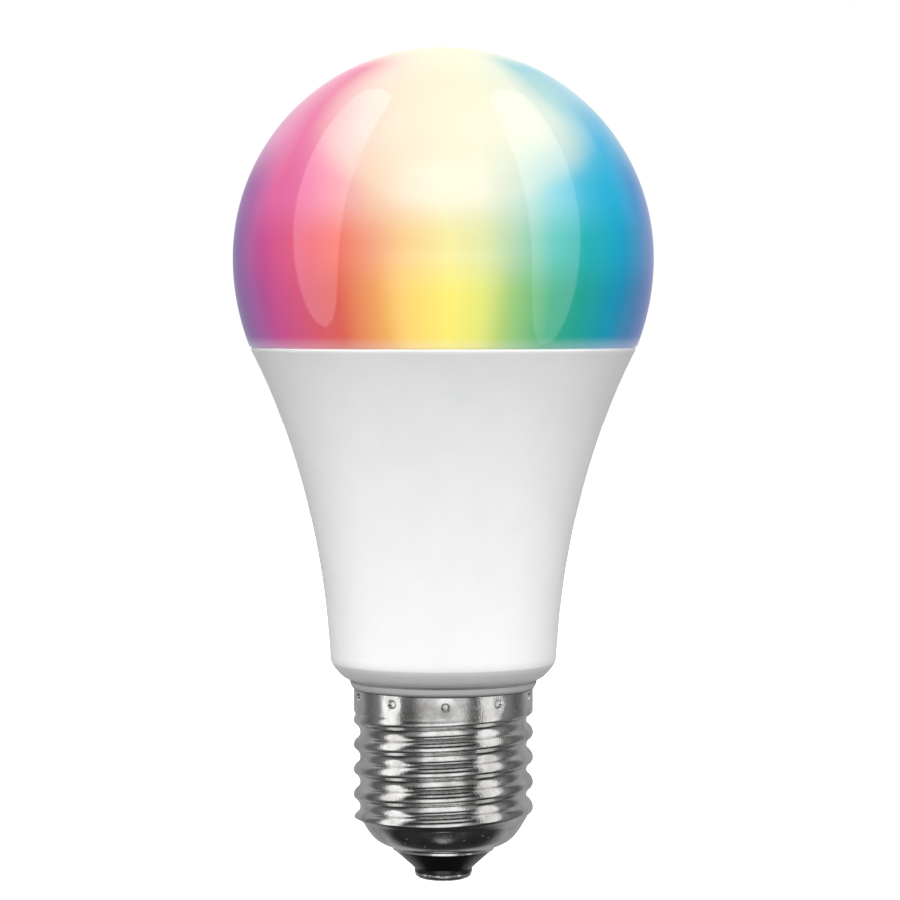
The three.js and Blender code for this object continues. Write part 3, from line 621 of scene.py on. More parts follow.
def rubber(slot):
    """Cured silicone: soft sheen, small lumps and dust."""
    finish = Finish(slot)
    dust = finish.remap(finish.cells(0.9)["Distance"], 0.14, 0.08)
    lumps = finish.noise(1.4, detail=3)
    body = finish.ramp(lumps, ((0.3, shaded(slot, 0.9)), (0.7, shaded(slot, 1.05))))
    finish.feed(
        Base_Color=finish.blend(dust, body, shaded(slot, 0.75)),
        Roughness=finish.remap(lumps, 0.3, 0.7, 0.45, 0.65),
    )
    finish.bump(lumps, 0.08)
    return finish.material


def woven_pad(slot):
    """A thermal pad: filled silicone over a glass weave that shows through."""
    finish = Finish(slot)
    x, y, _ = finish.axes()
    weave = finish.math("MULTIPLY", waves(finish, x, 0.6), waves(finish, y, 0.6))
    finish.feed(
        Base_Color=finish.ramp(weave, ((0.1, shaded(slot, 0.85)), (0.8, shaded(slot, 1.15)))),
        Roughness=finish.remap(finish.noise(0.5), 0.3, 0.7, 0.6, 0.8),
    )
    finish.bump(weave, 0.03)
    return finish.material


def round_board(slot):
    """The LED board: white solder mask, copper rings and spokes under it, and a bare metal core below."""
    finish = Finish(slot)
    x, y, z = finish.axes()
    rings = finish.remap(waves(finish, finish.length(x, y), 2.4), 0.5, 0.6)
    islands = finish.remap(finish.noise(7, detail=1), 0.45, 0.5)
    tracks = finish.math("MULTIPLY", rings, islands)
    mask = finish.blend(tracks, shaded(slot, 1.0), shaded(slot, 0.9))
    core = finish.remap(z, (LED_BOARD_TOP_Z - 0.12) * MM, (LED_BOARD_TOP_Z - 0.16) * MM)
    turned = finish.noise(0.3, detail=2, place=finish.stretched(1, 1, 12))
    bare = finish.ramp(turned, ((0.3, colour(150, 151, 153)), (0.7, colour(196, 197, 199))))
    finish.feed(
        Base_Color=finish.blend(core, mask, bare),
        Metallic=core,
        Roughness=finish.remap(finish.noise(0.7), 0.3, 0.7, 0.28, 0.42),
    )
    finish.bump(tracks, 0.035)
    finish.bump(turned, 0.004)
    return finish.material


def upright_board(slot):
    """A circuit board on edge: solder mask over tracks and a copper pour, with tinned vias."""
    finish = Finish(slot)
    x, _, z = finish.axes()
    along = finish.remap(waves(finish, x, 1.3), 0.55, 0.65)
    across = finish.remap(waves(finish, z, 1.7), 0.6, 0.7)
    which = finish.remap(finish.noise(5, detail=1), 0.48, 0.52)
    tracks = finish.math("ADD", finish.math("MULTIPLY", along, which), finish.math("MULTIPLY", across, 0.6))
    pour = finish.math("MINIMUM", tracks, 1.0)
    vias = finish.remap(finish.cells(2.1)["Distance"], 0.13, 0.1)
    mask = finish.blend(pour, shaded(slot, 0.75), shaded(slot, 1.6))
    finish.feed(
        Base_Color=finish.blend(vias, mask, colour(196, 194, 188)),
        Metallic=vias,
        Roughness=finish.remap(finish.noise(0.8), 0.3, 0.7, 0.22, 0.38),
    )
    finish.bump(pour, 0.035)
    return finish.material


def led(slot, ring_mm, first_deg, every_deg, phosphor_mm):
    """A surface-mounted LED: a white cup with a round window of phosphor or clear gel.

    The LEDs of a slot share one material, so it finds the nearest middle from the ring they stand in, the
    angle of the first and the angle between two.
    """
    finish = Finish(slot)
    x, y, _ = finish.axes()
    reach = finish.length(x, y)
    turn = finish.math("SUBTRACT", finish.math("ARCTAN2", y, x), math.radians(first_deg))
    half = math.radians(every_deg / 2)
    nearest = finish.math("MULTIPLY", finish.math("WRAP", turn, half, -half), reach)
    out = finish.math("SUBTRACT", reach, ring_mm * MM)
    from_middle = finish.length(nearest, out)
    window = finish.remap(from_middle, (phosphor_mm + 0.05) * MM, (phosphor_mm - 0.05) * MM)
    grains = finish.noise(0.12, detail=2)
    fill = finish.ramp(grains, ((0.3, shaded(slot, 0.85)), (0.7, shaded(slot, 1.1))))
    cup = finish.ramp(finish.noise(0.8), ((0.3, colour(226, 226, 222)), (0.7, colour(238, 238, 235))))
    finish.feed(
        Base_Color=finish.blend(window, cup, fill),
        Roughness=finish.remap(window, 0.0, 1.0, 0.4, 0.22),
    )
    finish.bump(window, -0.05)
    finish.bump(grains, 0.006)
    return finish.material


def clear_film(slot):
    """Polyester film: glossy and milky, with long soft creases from being rolled."""
    finish = Finish(slot, Transmission_Weight=0.35, IOR=1.58)
    creases = finish.noise(3, detail=3, place=finish.stretched(1, 1, 0.12))
    finish.feed(
        Base_Color=finish.ramp(creases, ((0.3, shaded(slot, 0.9)), (0.7, shaded(slot, 1.15)))),
        Roughness=finish.remap(finish.noise(0.5), 0.3, 0.7, 0.16, 0.3),
    )
    finish.bump(creases, 0.15)
    return finish.material


def shrink_sleeve(slot):
    """A capacitor: dark shrink sleeve, and bare aluminium where the can's top shows."""
    finish = Finish(slot)
    facing = finish.split(finish.add("ShaderNodeNewGeometry").outputs["Normal"])
    top = finish.remap(facing["Z"], 0.8, 0.95)
    mottle = finish.noise(1.8, detail=3)
    sleeve = finish.ramp(mottle, ((0.3, shaded(slot, 0.8)), (0.7, shaded(slot, 1.5))))
    can = finish.ramp(finish.noise(0.4), ((0.3, colour(168, 169, 171)), (0.7, colour(206, 207, 209))))
    finish.feed(
        Base_Color=finish.blend(top, sleeve, can),
        Metallic=top,
        Roughness=finish.remap(mottle, 0.3, 0.7, 0.22, 0.36),
    )
    finish.bump(finish.noise(2.4, place=finish.stretched(1, 1, 0.3)), 0.05)
    return finish.material


def wound_wire(slot, pitch_mm=0.32):
    """Enamelled wire in level turns, with painted shade in the dark gaps between them."""
    finish = Finish(slot, Metallic=0.85)
    turns = waves(finish, finish.axes()["Z"], pitch_mm)
    drift = finish.noise(2, detail=2)
    wire = finish.ramp(drift, ((0.3, shaded(slot, 0.8)), (0.7, shaded(slot, 1.25))))
    # Painted shade: the gaps between turns are darkened.
    gap_shade = finish.remap(turns, 0.25, 0.05)
    finish.feed(
        Base_Color=finish.blend(gap_shade, wire, shaded(slot, 0.2)),
        Roughness=finish.remap(turns, 0.0, 1.0, 0.5, 0.24),
    )
    finish.bump(turns, 0.1)
    return finish.material


def sintered(slot):
    """Ferrite: matt, porous, with pale rubbed marks and painted shade in the pores."""
    finish = Finish(slot)
    # The pores are pits in the bump, and their darker colour is painted shade.
    pores_and_shade = finish.remap(finish.cells(0.35)["Distance"], 0.2, 0.1)
    rubbed = finish.remap(finish.noise(2.2, detail=4), 0.55, 0.7)
    body = finish.blend(rubbed, shaded(slot, 0.9), shaded(slot, 2.0))
    finish.feed(
        Base_Color=finish.blend(pores_and_shade, body, shaded(slot, 0.4)),
        Roughness=finish.remap(rubbed, 0.0, 1.0, 0.85, 0.6),
    )
    finish.bump(pores_and_shade, -0.03)
    return finish.material


def layered_tape(slot):
    """Polyester tape wound in layers, whose edges show as lines."""
    finish = Finish(slot)
    edges = finish.remap(waves(finish, finish.axes()["Z"], 1.8), 0.9, 1.0)
    air = finish.remap(finish.noise(1.6, detail=3), 0.55, 0.65)
    tape = finish.blend(air, shaded(slot, 0.95), shaded(slot, 1.2))
    finish.feed(
        Base_Color=finish.blend(edges, tape, shaded(slot, 0.6)),
        Roughness=finish.remap(air, 0.0, 1.0, 0.18, 0.34),
    )
    finish.bump(edges, 0.04)
    finish.bump(air, 0.02)
    return finish.material


def dipped(slot):
    """Dipped epoxy: thick and glossy, with an orange-peel surface and pin holes painted dark as shade."""
    finish = Finish(slot, Coat_Weight=0.4)
    peel = finish.noise(0.7, detail=1)
    # The pin holes are pits in the bump, and their darker colour is painted shade.
    pin_holes_and_shade = finish.remap(finish.cells(1.1)["Distance"], 0.08, 0.04)
    body = finish.ramp(finish.noise(3), ((0.3, shaded(slot, 0.8)), (0.7, shaded(slot, 1.3))))
    finish.feed(
        Base_Color=finish.blend(pin_holes_and_shade, body, shaded(slot, 0.3)),
        Roughness=finish.remap(peel, 0.3, 0.7, 0.1, 0.24),
    )
    finish.bump(peel, 0.05)
    finish.bump(pin_holes_and_shade, -0.04)
    return finish.material


def extruded(slot):
    """Wire insulation: satin, with die lines along the wire."""
    finish = Finish(slot)
    lines = finish.noise(0.12, detail=2, place=finish.stretched(1, 1, 0.05))
    finish.feed(
        Base_Color=finish.ramp(lines, ((0.3, shaded(slot, 0.85)), (0.7, shaded(slot, 1.15)))),
        Roughness=finish.remap(finish.noise(1.1), 0.3, 0.7, 0.32, 0.5),
    )
    finish.bump(lines, 0.012)
    return finish.material


def bare_copper(slot):
    """Copper lead: bright where it was handled, browner where it has tarnished."""
    finish = Finish(slot, Metallic=1.0)
    tarnish = finish.noise(1.7, detail=4, rough=0.65)
    lines = finish.noise(0.1, detail=2, place=finish.stretched(1, 1, 0.05))
    finish.feed(
        Base_Color=finish.ramp(tarnish, ((0.35, shaded(slot, 0.6)), (0.6, shaded(slot, 1.25)))),
        Roughness=finish.remap(tarnish, 0.35, 0.6, 0.45, 0.22),
    )
    finish.bump(lines, 0.01)
    return finish.material


INSIDE = {
    "silicone": rubber("silicone"),
    "pressed_aluminium": sheet_metal("pressed_aluminium", 0.38),
    "thermal_pad": woven_pad("thermal_pad"),
    "white_board": round_board("white_board"),
    "screw_steel": sheet_metal("screw_steel", 0.26),
    "cool_led": led("cool_led", LED_RING, 15, 60, 0.95),
    "warm_led": led("warm_led", LED_RING, 45, 60, 0.95),
    "colour_led": led("colour_led", COLOUR_RING, 0, 90, 1.6),
    "white_moulding": moulded("white_moulding"),
    "green_board": upright_board("green_board"),
    "insulating_film": clear_film("insulating_film"),
    "black_moulding": moulded("black_moulding", 0.5),
    "capacitor_sleeve": shrink_sleeve("capacitor_sleeve"),
    "copper_winding": wound_wire("copper_winding"),
    "ferrite": sintered("ferrite"),
    "yellow_tape": layered_tape("yellow_tape"),
    "film_box": moulded("film_box", 0.25),
    "blue_epoxy": dipped("blue_epoxy"),
    "blue_board": upright_board("blue_board"),
    "tinned_shield": sheet_metal("tinned_shield", 0.3),
    "red_insulation": extruded("red_insulation"),
    "copper_lead": bare_copper("copper_lead"),
}


# ---------- Shells ----------

# The flare's curve, whose two pulls say how far down from the rim and up from the waist it holds its lean.
RIM_PULL = FLARE_HEIGHT * FLARE_RIM_PULL
WAIST_PULL = FLARE_HEIGHT * FLARE_WAIST_PULL
FLARE = [
    (RIM_RADIUS, RIM_Z),
    (RIM_RADIUS - RIM_PULL * FLARE_RIM_LEAN, RIM_Z - RIM_PULL),
    (WAIST_RADIUS + WAIST_PULL * FLARE_WAIST_LEAN, WAIST_Z + WAIST_PULL),
    (WAIST_RADIUS, WAIST_Z),
]

# The wall leans in a little from the waist to an edge, and a cone under it turns in to the collar.
SHOULDER_LEAN = [
    (WAIST_RADIUS, WAIST_Z),
    (WAIST_RADIUS - 0.02, WAIST_Z - 0.7),
    (WAIST_RADIUS - 0.17, WAIST_Z - 1.3),
]
SHOULDER_EDGE = (WAIST_RADIUS - 0.2, WAIST_Z - 1.42)
SHOULDER_CONE = [
    (WAIST_RADIUS - 0.6, COLLAR_TOP_Z + 1.85),
    (COLLAR_RADIUS + 1.5, COLLAR_TOP_Z + 0.95),
    (COLLAR_RADIUS + 1.05, COLLAR_TOP_Z + 0.35),
    (COLLAR_RADIUS + 0.2, COLLAR_TOP_Z + 0.12),
]

# The dark crease between the cone and the collar.
CREASE_DEPTH = 0.55
CREASE_HEIGHT = 0.36


def diffuser():
    """The opal dome and the plug that snaps into the housing.

    It is a globe above its widest circle, and a wider arc from there down to the rim.
    """
    drop = GLOBE_RADIUS - RIM_RADIUS
    height = GLOBE_CENTRE_Z - RIM_Z - SEAT_GAP
    lower_radius = (height * height + drop * drop) / (2 * drop)
    lower_centre = (GLOBE_RADIUS - lower_radius, GLOBE_CENTRE_Z)
    bead_z = (RIM_Z + PLUG_FOOT_Z) / 2
    shelf_z = RIM_Z + DIFFUSER_WALL

    def dome(inset, end_z, steps):
        radius = lower_radius - inset
        end = -math.degrees(math.asin((GLOBE_CENTRE_Z - end_z) / radius))
        return [
            *arc((0, GLOBE_CENTRE_Z), GLOBE_RADIUS - inset, 90, 0, steps),
            *arc(lower_centre, radius, 0, end, steps // 3)[1:],
        ]

    outside = dome(0, RIM_Z + SEAT_GAP, 60)
    inside = dome(DIFFUSER_WALL, shelf_z, 45)[::-1]
    foot = rounded(
        [
            outside[-1],
            (PLUG_RADIUS, RIM_Z + SEAT_GAP),
            (PLUG_RADIUS, bead_z + SNAP_BEAD),
            (PLUG_RADIUS + SNAP_BEAD, bead_z),
            (PLUG_RADIUS, bead_z - SNAP_BEAD),
            (PLUG_RADIUS, PLUG_FOOT_Z),
            (PLUG_RADIUS - PLUG_WALL, PLUG_FOOT_Z),
            (PLUG_RADIUS - PLUG_WALL, shelf_z),
            inside[0],
        ],
        size=0.12,
    )
    edge = eased(outside[-2], outside[-1], foot[1], size=0.12)
    outline = [*outside[:-1], *edge, *foot[1:], *inside[1:]]
    return revolved("diffuser_dome", outline, even_angles(192), opal_diffuser())


def inside_flare(inset, top, bottom):
    """The flare's own curve, moved in by a level distance and cut to a range of heights."""
    return [(r - inset, z) for r, z in bezier(FLARE, 60) if bottom <= z <= top]


def housing():
    """The white body: flared shell, rounded rim, shoulder, collar, and the neck inside the cap."""
    groove_z = (RIM_Z + PLUG_FOOT_Z) / 2
    bead_room = SNAP_BEAD + FIT_ROOM
    stake_room = STAKE_DEPTH + FIT_ROOM
    stake_half = STAKE_RADIUS + SHELL_WALL
    skirt_bore = SKIRT_RADIUS - SHELL_WALL - FIT_ROOM
    flare = bezier(FLARE, 72)
    rim_land = (RIM_RADIUS - RIM_ROUND, RIM_Z)
    rim_top = (RIM_RADIUS - 0.02, RIM_Z)
    below_rim = next(p for p in flare if p[1] < RIM_Z - RIM_ROUND)
    body = [
        rim_land,
        *bezier([rim_land, rim_top, below_rim], 6)[1:],
        *[p for p in flare if p[1] < below_rim[1]],
        *bezier(SHOULDER_LEAN, 8)[1:],
        *bezier([SHOULDER_LEAN[-1], SHOULDER_EDGE, SHOULDER_CONE[0]], 6)[1:],
        *bezier(SHOULDER_CONE, 12)[1:],
    ]
    crease_top_z = COLLAR_TOP_Z + 0.1
    crease_foot_z = crease_top_z - CREASE_HEIGHT
    crease = rounded(
        [
            body[-1],
            (COLLAR_RADIUS - CREASE_DEPTH, crease_top_z),
            (COLLAR_RADIUS - CREASE_DEPTH, crease_foot_z),
            (COLLAR_RADIUS, crease_foot_z),
            (COLLAR_RADIUS - 0.22, COLLAR_FOOT_Z + 0.4),
            (COLLAR_RADIUS - 0.5, COLLAR_FOOT_Z),
        ],
        size=0.12,
    )
    neck = rounded(
        [
            crease[-1],
            (SKIRT_RADIUS + SEAT_GAP, COLLAR_FOOT_Z),
            (SKIRT_RADIUS - SEAT_GAP, COLLAR_FOOT_Z + FIT_ROOM),
            (skirt_bore, COLLAR_FOOT_Z + FIT_ROOM),
            (skirt_bore, STAKE_Z + stake_half),
            (skirt_bore - stake_room, STAKE_Z + STAKE_RADIUS),
            (skirt_bore - stake_room, STAKE_Z - STAKE_RADIUS),
            (skirt_bore, STAKE_Z - stake_half),
            (skirt_bore, THREAD_TOP_Z + THREAD_FADE / 2),
            (NECK_RADIUS, THREAD_TOP_Z),
            (NECK_RADIUS, NECK_FOOT_Z),
            (NECK_RADIUS - NECK_WALL, NECK_FOOT_Z),
            (NECK_RADIUS - NECK_WALL, FLOOR_Z),
            (WAIST_RADIUS - WAIST_WALL, FLOOR_Z),
            (WAIST_RADIUS - WAIST_WALL, WAIST_Z + 0.5),
        ],
        size=0.3,
    )
    bore = inside_flare(HOUSING_WALL, RIM_Z - LEDGE_DEPTH - 0.3, WAIST_Z + 1)[::-1]
    ledge = rounded(
        [
            bore[-1],
            (LEDGE_RADIUS, RIM_Z - LEDGE_DEPTH),
            (LEDGE_RADIUS, groove_z - bead_room),
            (LEDGE_RADIUS + SNAP_BEAD, groove_z),
            (LEDGE_RADIUS, groove_z + bead_room),
            (LEDGE_RADIUS, RIM_Z),
            rim_land,
        ],
        size=0.15,
    )
    outline = [*body, *crease[1:], *neck[1:], *bore, *ledge[1:-1]]
    return revolved("housing_body", outline, even_angles(192), white_housing())


def knuckle(below):
    """The thread's profile, 1 on a crest and -1 in a valley, by the share of a pitch below the crest.

    An arc over the crest and one in the valley meet on each flank. Below the crest, the crest's arc is
    tight and the valley's wide. Above it they are more nearly even.
    """

    def lift(share):
        return (1 - math.cos(math.asin(share * math.sin(THREAD_FLANK)))) / (1 - math.cos(THREAD_FLANK))

    crest_width = CREST_FOOT if below < 0.5 else CREST_HEAD
    valley_width = 0.5 - crest_width
    from_valley = abs(below - 0.5)
    if from_valley < valley_width:
        return 4 * valley_width * lift(from_valley / valley_width) - 1
    return 1 - 4 * crest_width * lift((0.5 - from_valley) / crest_width)


def thread_offset(height, angle):
    """How far the knuckle thread stands out from its mean radius, fading into skirt and bowl."""
    below_skirt = 1 - smoothstep(height, THREAD_TOP_Z - THREAD_FADE, THREAD_TOP_Z)
    fade = below_skirt * smoothstep(height, BOWL_TOP_Z - BOWL_FADE, BOWL_TOP_Z)
    turns = (height - SKIRT_TOP_Z + CREST_BELOW_SKIRT) / THREAD_PITCH - angle / (2 * math.pi)
    return THREAD_DEPTH / 2 * fade * knuckle(-turns % 1)


def stake_angles():
    return [math.radians(STAKE_FIRST_DEG + 360 * i / STAKES) for i in range(STAKES)]


def stake_offset(height, angle):
    """How far the nearest stake mark pushes the skirt in: a flat-bottomed pit in a shallow dent.

    The marks at the sides sit a little higher than those in front and behind.
    """
    if abs(height - STAKE_Z) > 3 * STAKE_RADIUS:
        return 0
    nearest = min(stake_angles(), key=lambda a: abs(math.remainder(angle - a, 2 * math.pi)))
    turn = math.remainder(angle - nearest, 2 * math.pi)
    rise = STAKE_SWAY * (math.cos(nearest) ** 2 - 0.3)
    distance = math.hypot(turn * SKIRT_RADIUS, height - STAKE_Z - rise) / STAKE_RADIUS
    pit = STAKE_DEPTH * (1 - smoothstep(distance, 0.5, 1.0))
    dent = DENT_DEPTH * (1 - smoothstep(distance, 0.8, 2.4))
    return -pit - dent


def shell_angles():
    """Even angles, and close ones round the stake marks."""
    close_step = math.radians(0.3)
    close_steps = 12
    wide_steps = 28
    close = close_steps * close_step
    wide = 2 * math.pi / STAKES - 2 * close
    angles = set()
    for angle in stake_angles():
        angles.update(round(angle + close_step * i, 6) for i in range(-close_steps, close_steps + 1))
        angles.update(round(angle + close + wide * i / wide_steps, 6) for i in range(1, wide_steps))
    return sorted(angles)


def screw_shell():
    """The nickel-plated shell, with a rolled thread, stake marks, and a bowl that turns in to the lip."""
    mean_radius = THREAD_MEAN_RADIUS
    bowl = bezier(
        [
            (mean_radius - 0.75, LIP_Z + 4.3),
            (mean_radius - 2.0, LIP_Z + 2.2),
            (mean_radius - 2.5, LIP_Z + 1.3),
            (LIP_RADIUS + 0.35, LIP_Z + 0.5),
        ],
        28,
    )
    lip = rounded(
        [
            bowl[-1],
            (LIP_RADIUS + 0.2, LIP_Z + 0.42),
            (LIP_RADIUS + 0.12, LIP_Z),
            (LIP_RADIUS, LIP_Z),
            (LIP_RADIUS, LIP_Z + SHELL_WALL),
        ],
        size=0.12,
    )
    skirt = [
        *straight((SKIRT_RADIUS, SKIRT_TOP_Z - 0.1), (SKIRT_RADIUS, STAKE_Z - 1.0), 38),
        *straight((SKIRT_RADIUS, STAKE_Z - 1.1), (SKIRT_RADIUS, THREAD_TOP_Z), 8),
    ]
    rows = 124
    for i in range(1, rows + 1):
        z = mix(THREAD_TOP_Z, BOWL_TOP_Z, i / rows)
        on_skirt = smoothstep(z, THREAD_TOP_Z - THREAD_FADE, THREAD_TOP_Z)
        skirt.append((mix(mean_radius, SKIRT_RADIUS, on_skirt), z))
    inside = [(radius - SHELL_WALL, z) for radius, z in skirt]
    for radius, z in bowl[:-1]:
        wall = SHELL_WALL * smoothstep(z, LIP_Z, BOWL_TOP_Z)
        inside.append((radius - wall, z + SHELL_WALL * 0.9))
    edge = SHELL_WALL / 4
    top = [
        (SKIRT_RADIUS - 3 * edge, SKIRT_TOP_Z),
        (SKIRT_RADIUS - edge, SKIRT_TOP_Z),
        (SKIRT_RADIUS - edge / 3, SKIRT_TOP_Z - edge / 3),
    ]

    def shape(radius, height, angle):
        if radius < LIP_RADIUS + 1:
            return radius
        return radius + thread_offset(height, angle) + stake_offset(height, angle)

    outline = [*top, *skirt, *bowl, *lip[1:], *inside[::-1]]
    return revolved("cap_shell", outline, shell_angles(), nickel_plate(), shape)


def cap_insulator():
    """The black glass between lip and contact, with the flange that holds it inside the shell."""
    throat = LIP_RADIUS - SEAT_GAP
    flange_radius = throat + 1.4
    flange_z = LIP_Z + SHELL_WALL + FIT_ROOM
    shank = SHANK_RADIUS + SEAT_GAP
    flange = rounded(
        [
            (shank, GLASS_TOP_Z),
            (flange_radius, GLASS_TOP_Z),
            (flange_radius, flange_z + 0.9),
            (throat, flange_z),
            (throat, LIP_Z),
        ],
        size=0.25,
    )
    foot_corner = (GLASS_FOOT_RADIUS, GLASS_FOOT_Z + 0.55)
    cone = bezier([flange[-1], (GLASS_FOOT_RADIUS + 0.35, GLASS_FOOT_Z + 0.95), foot_corner], 20)
    foot = rounded(
        [
            foot_corner,
            (GLASS_FOOT_RADIUS, GLASS_FOOT_Z),
            (shank, GLASS_FOOT_Z),
            (shank, GLASS_TOP_Z),
        ],
        size=0.08,
    )
    outline = [*flange[:-1], *cone, *foot[1:-1]]
    return revolved("cap_glass", outline, even_angles(144), black_glass())


def centre_contact():
    """The tinned rivet: a shallow crowned head with a flat tip, and a shank bored for the lead."""
    head_z = GLASS_FOOT_Z - SEAT_GAP
    bore_foot = head_z + 1
    tip = bezier(
        [
            (CONTACT_RADIUS, head_z * 0.8),
            (CONTACT_RADIUS - 0.03, head_z * 0.4),
            (CONTACT_RADIUS - 0.7, head_z * 0.1),
            (CONTACT_FLAT_RADIUS, 0),
        ],
        18,
    )
    shank = rounded(
        [
            (0, bore_foot),
            (BORE_RADIUS, bore_foot),
            (BORE_RADIUS, SHANK_TOP_Z),
            (SHANK_RADIUS, SHANK_TOP_Z),
            (SHANK_RADIUS, head_z),
            (CONTACT_RADIUS, head_z),
            tip[0],
        ],
        size=0.1,
    )
    return revolved("contact_rivet", [*shank[:-1], *tip, (0, 0)], even_angles(96), tinned_contact())


# ---------- Everything in place ----------

SLOTS = {part["node"]: part["material_slot"] for part in frame["record"]["subparts"]}

for make, node in (
    (diffuser, "diffuser"),
    (housing, "housing"),
    (screw_shell, "screw_shell"),
    (cap_insulator, "cap_insulator"),
    (centre_contact, "centre_contact"),
):
    piece = make()
    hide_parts(node)

for node, slot in SLOTS.items():
    if slot in INSIDE:
        frame["nodes"][node].material_slots[0].material = INSIDE[slot]

# ---------- Studio ----------

# The photograph's view: from half a metre in front, a little above level.
CAMERA_PLACE = Vector((0.00097, -0.523, 0.0833))
AIM = Vector((0.00097, 0, 0.0627))
LENS = 144
FLOOR_DROP = 0.03
FLOOR_HALF = 3.0
SOFTBOX_DISTANCE = 1.2


def grey(level):
    return (level, level, level, 1)


def aimed(thing, target):
    thing.rotation_mode = "QUATERNION"
    thing.rotation_quaternion = (target - thing.location).to_track_quat("-Z", "Y")


def add_camera():
    camera = bpy.data.objects.new("camera", bpy.data.cameras.new("camera"))
    camera.data.lens = LENS
    camera.location = CAMERA_PLACE
    aimed(camera, AIM)
    bpy.context.scene.collection.objects.link(camera)
    bpy.context.scene.camera = camera


def stage_mesh(name, points, faces, finish):
    """A sheet of the studio, which is no part of the bulb."""
    data = bpy.data.meshes.new(name)
    data.from_pydata(points, [], faces)
    data.materials.append(finish.material)
    sheet = bpy.data.objects.new(name, data)
    bpy.context.scene.collection.objects.link(sheet)
    return sheet


def add_floor():
    """A pale floor that glows more the further off it is, and is clear when seen from below."""
    finish = Finish("floor", Base_Color=grey(0.9), Roughness=1.0, Emission_Color=grey(1.0))
    length = finish.set(finish.add("ShaderNodeVectorMath", operation="LENGTH"), {0: finish.place})
    finish.feed(Emission_Strength=finish.remap(length.outputs["Value"], 0.1, 0.7, 0.15, 0.9, smooth=False))
    below = finish.add("ShaderNodeNewGeometry").outputs["Backfacing"]
    clear = finish.add("ShaderNodeBsdfTransparent").outputs[0]
    either = finish.add("ShaderNodeMixShader")
    finish.set(either, {0: below, 1: finish.shader.outputs[0], 2: clear})
    finish.set(finish.tree.nodes["Material Output"], {"Surface": either.outputs[0]})
    signs = ((-1, -1), (1, -1), (1, 1), (-1, 1))
    corners = [(FLOOR_HALF * x, FLOOR_HALF * y, -FLOOR_DROP) for x, y in signs]
    floor = stage_mesh("floor", corners, [(0, 1, 2, 3)], finish)
    floor.visible_glossy = False
    floor.visible_diffuse = False


def add_softbox(name, side, low, high, azimuth, lean, tuck, half_width, strength):
    """A tall softbox beside the bulb, seen only in reflections.

    It is given by the highlight it makes on the globe: the angles there that it runs between, its angle off
    the front, how far it leans in at its top and tucks in at its foot, and its half width.
    """
    centre = Vector((0, 0, GLOBE_CENTRE_Z * MM))
    rows = 40
    columns = 12
    taper = 0.35

    def facing(share):
        level = math.radians(mix(low, high, share))
        around = math.radians(azimuth - lean * share**3 - tuck * (1 - share) ** 3)
        flat = math.cos(level)
        return Vector((side * flat * math.sin(around), -flat * math.cos(around), math.sin(level)))

    def mirrored(normal):
        """Where the camera's ray goes from that place on the globe."""
        place = centre + GLOBE_RADIUS * MM * normal
        towards = (CAMERA_PLACE - place).normalized()
        return place + SOFTBOX_DISTANCE * (2 * normal.dot(towards) * normal - towards)

    points = []
    for i in range(rows + 1):
        share = i / rows
        middle = facing(share)
        along = facing(min(1, share + 0.01)) - facing(max(0, share - 0.01))
        across = middle.cross(along).normalized()
        top = max(0, 2 * share - 1)
        foot = max(0, 1 - 2 * share)
        ends = (1 - top**24 - foot**6) ** 0.5
        width = half_width * (1 - taper * top**2.5 - taper * foot**2) * ends
        for j in range(columns + 1):
            turn = math.radians(width * (2 * j / columns - 1))
            points.append(mirrored(middle * math.cos(turn) + across * math.sin(turn)))
    faces = []
    for i in range(rows):
        for j in range(columns):
            corner = i * (columns + 1) + j
            faces.append((corner, corner + 1, corner + columns + 2, corner + columns + 1))
    finish = Finish(
        name,
        Base_Color=grey(0),
        Roughness=1.0,
        Emission_Color=grey(1.0),
        Emission_Strength=strength,
    )
    box = stage_mesh(name, points, faces, finish)
    box.visible_camera = False
    box.visible_diffuse = False
    box.visible_shadow = False


def add_lamp(name, place, size, watts):
    """A large soft lamp that lights the matt surfaces and leaves no highlight of its own."""
    lamp = bpy.data.objects.new(name, bpy.data.lights.new(name, "AREA"))
    lamp.data.size = size
    lamp.data.energy = watts
    lamp.location = place
    aimed(lamp, AIM)
    lamp.visible_glossy = False
    bpy.context.scene.collection.objects.link(lamp)


# How light the studio is to matt surfaces, by degrees above level.
SOFT_LIGHT = ((-90, 0.22), (-10, 0.28), (15, 0.42), (90, 0.55))

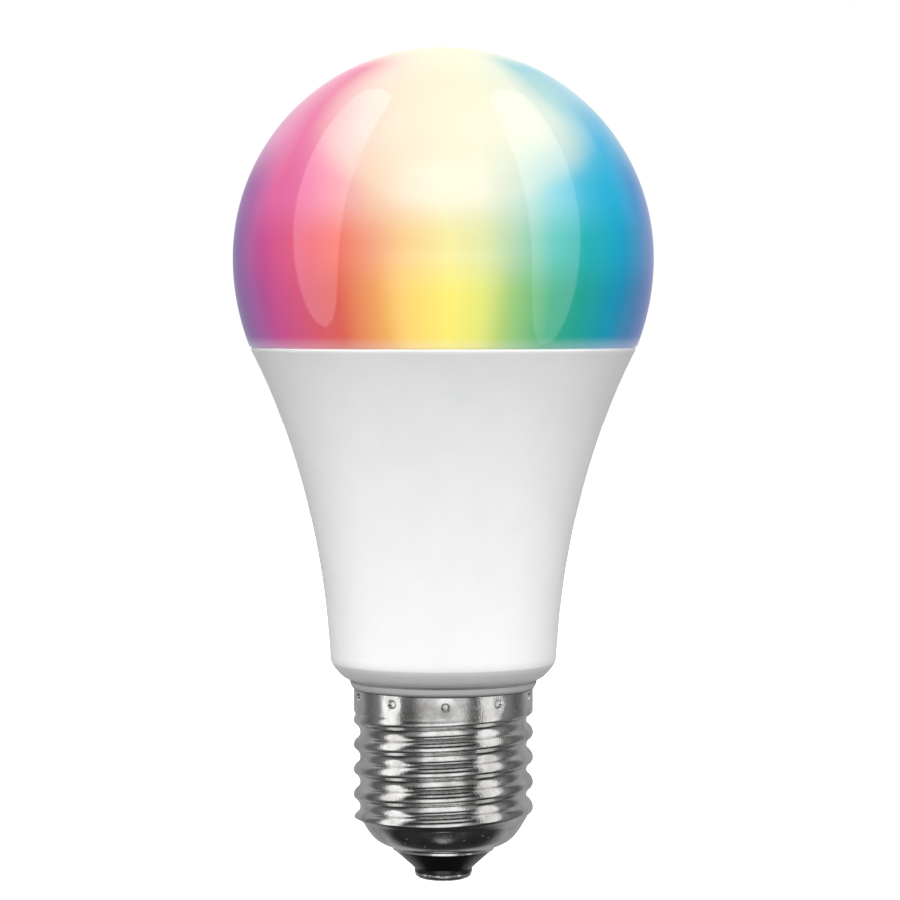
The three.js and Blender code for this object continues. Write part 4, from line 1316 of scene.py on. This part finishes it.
# What glossy surfaces see: from how many degrees off the front, over how many it sets in, and its light by
# degrees above level. A low and a high white panel in front, dark gaps beside them, and a grey room behind.
REFLECTIONS = (
    (
        0,
        0,
        (
            (-90, 0.05),
            (-84, 0.3),
            (-76, 0.3),
            (-71, 0.02),
            (-62, 0.03),
            (-55, 1.1),
            (-12, 1.1),
            (-5, 0.65),
            (1, 0.6),
            (6, 0.02),
            (22, 0.02),
            (32, 0.7),
            (47, 0.7),
            (56, 0.02),
            (90, 0.02),
        ),
    ),
    (
        31,
        16,
        (
            (-90, 0.02),
            (-62, 0.06),
            (-50, 0.26),
            (-16, 0.26),
            (-5, 0.14),
            (4, 0.06),
            (30, 0.04),
            (46, 0.2),
            (56, 0.03),
            (90, 0.02),
        ),
    ),
    (58, 16, ((-90, 0.02), (-45, 0.04), (-30, 0.22), (0, 0.24), (50, 0.24), (62, 0.04), (90, 0.02))),
    (97, 20, ((-90, 0.02), (-50, 0.03), (-30, 0.14), (50, 0.14), (66, 0.04), (90, 0.02))),
    (122, 20, ((-90, 0.02), (-55, 0.04), (-40, 0.36), (50, 0.4), (72, 0.1), (90, 0.03))),
)


def add_world():
    """White to the camera, a soft dome of light to matt surfaces, and REFLECTIONS to glossy ones."""
    world = bpy.data.worlds.new("studio")
    world.use_nodes = True
    bpy.context.scene.world = world
    nodes = Nodes(world.node_tree)
    direction = nodes.split(nodes.add("ShaderNodeTexCoord").outputs["Generated"])
    level = nodes.math("DEGREES", nodes.math("ARCSINE", direction["Z"]))
    sideways = nodes.math("ABSOLUTE", direction["X"])
    frontward = nodes.math("MULTIPLY", direction["Y"], -1.0)
    turn = nodes.math("DEGREES", nodes.math("ARCTAN2", sideways, frontward))

    def by_level(lights):
        return nodes.ramp(level, [(degrees, grey(light)) for degrees, light in lights], -90.0, 90.0)

    glossy = by_level(REFLECTIONS[0][2])
    for start, soft, lights in REFLECTIONS[1:]:
        share = nodes.remap(turn, start - soft / 2, start + soft / 2)
        glossy = nodes.blend(share, glossy, by_level(lights))
    rays = nodes.add("ShaderNodeLightPath").outputs
    light = nodes.blend(rays["Is Glossy Ray"], by_level(SOFT_LIGHT), glossy)
    seen = nodes.blend(rays["Is Camera Ray"], light, grey(1.0))
    nodes.set(nodes.tree.nodes["Background"], {"Color": seen})


add_camera()
add_world()
add_floor()
add_softbox(
    "softbox_left",
    side=-1,
    low=-16.5,
    high=50.5,
    azimuth=36.8,
    lean=10.5,
    tuck=3,
    half_width=8,
    strength=1.2,
)
add_softbox(
    "softbox_right",
    side=1,
    low=-21,
    high=50,
    azimuth=32.2,
    lean=7.5,
    tuck=3,
    half_width=7.8,
    strength=1.05,
)
add_lamp("lamp_front", (0, -1.1, 0.85), size=0.7, watts=18.6)
add_lamp("lamp_back", (0, 1.3, 0.5), size=0.7, watts=12)
add_lamp("lamp_left", (-1.3, -0.1, 0.3), size=0.8, watts=6.5)
add_lamp("lamp_right", (1.3, -0.1, 0.3), size=0.8, watts=6.5)
bpy.context.scene.view_settings.view_transform = "Standard"
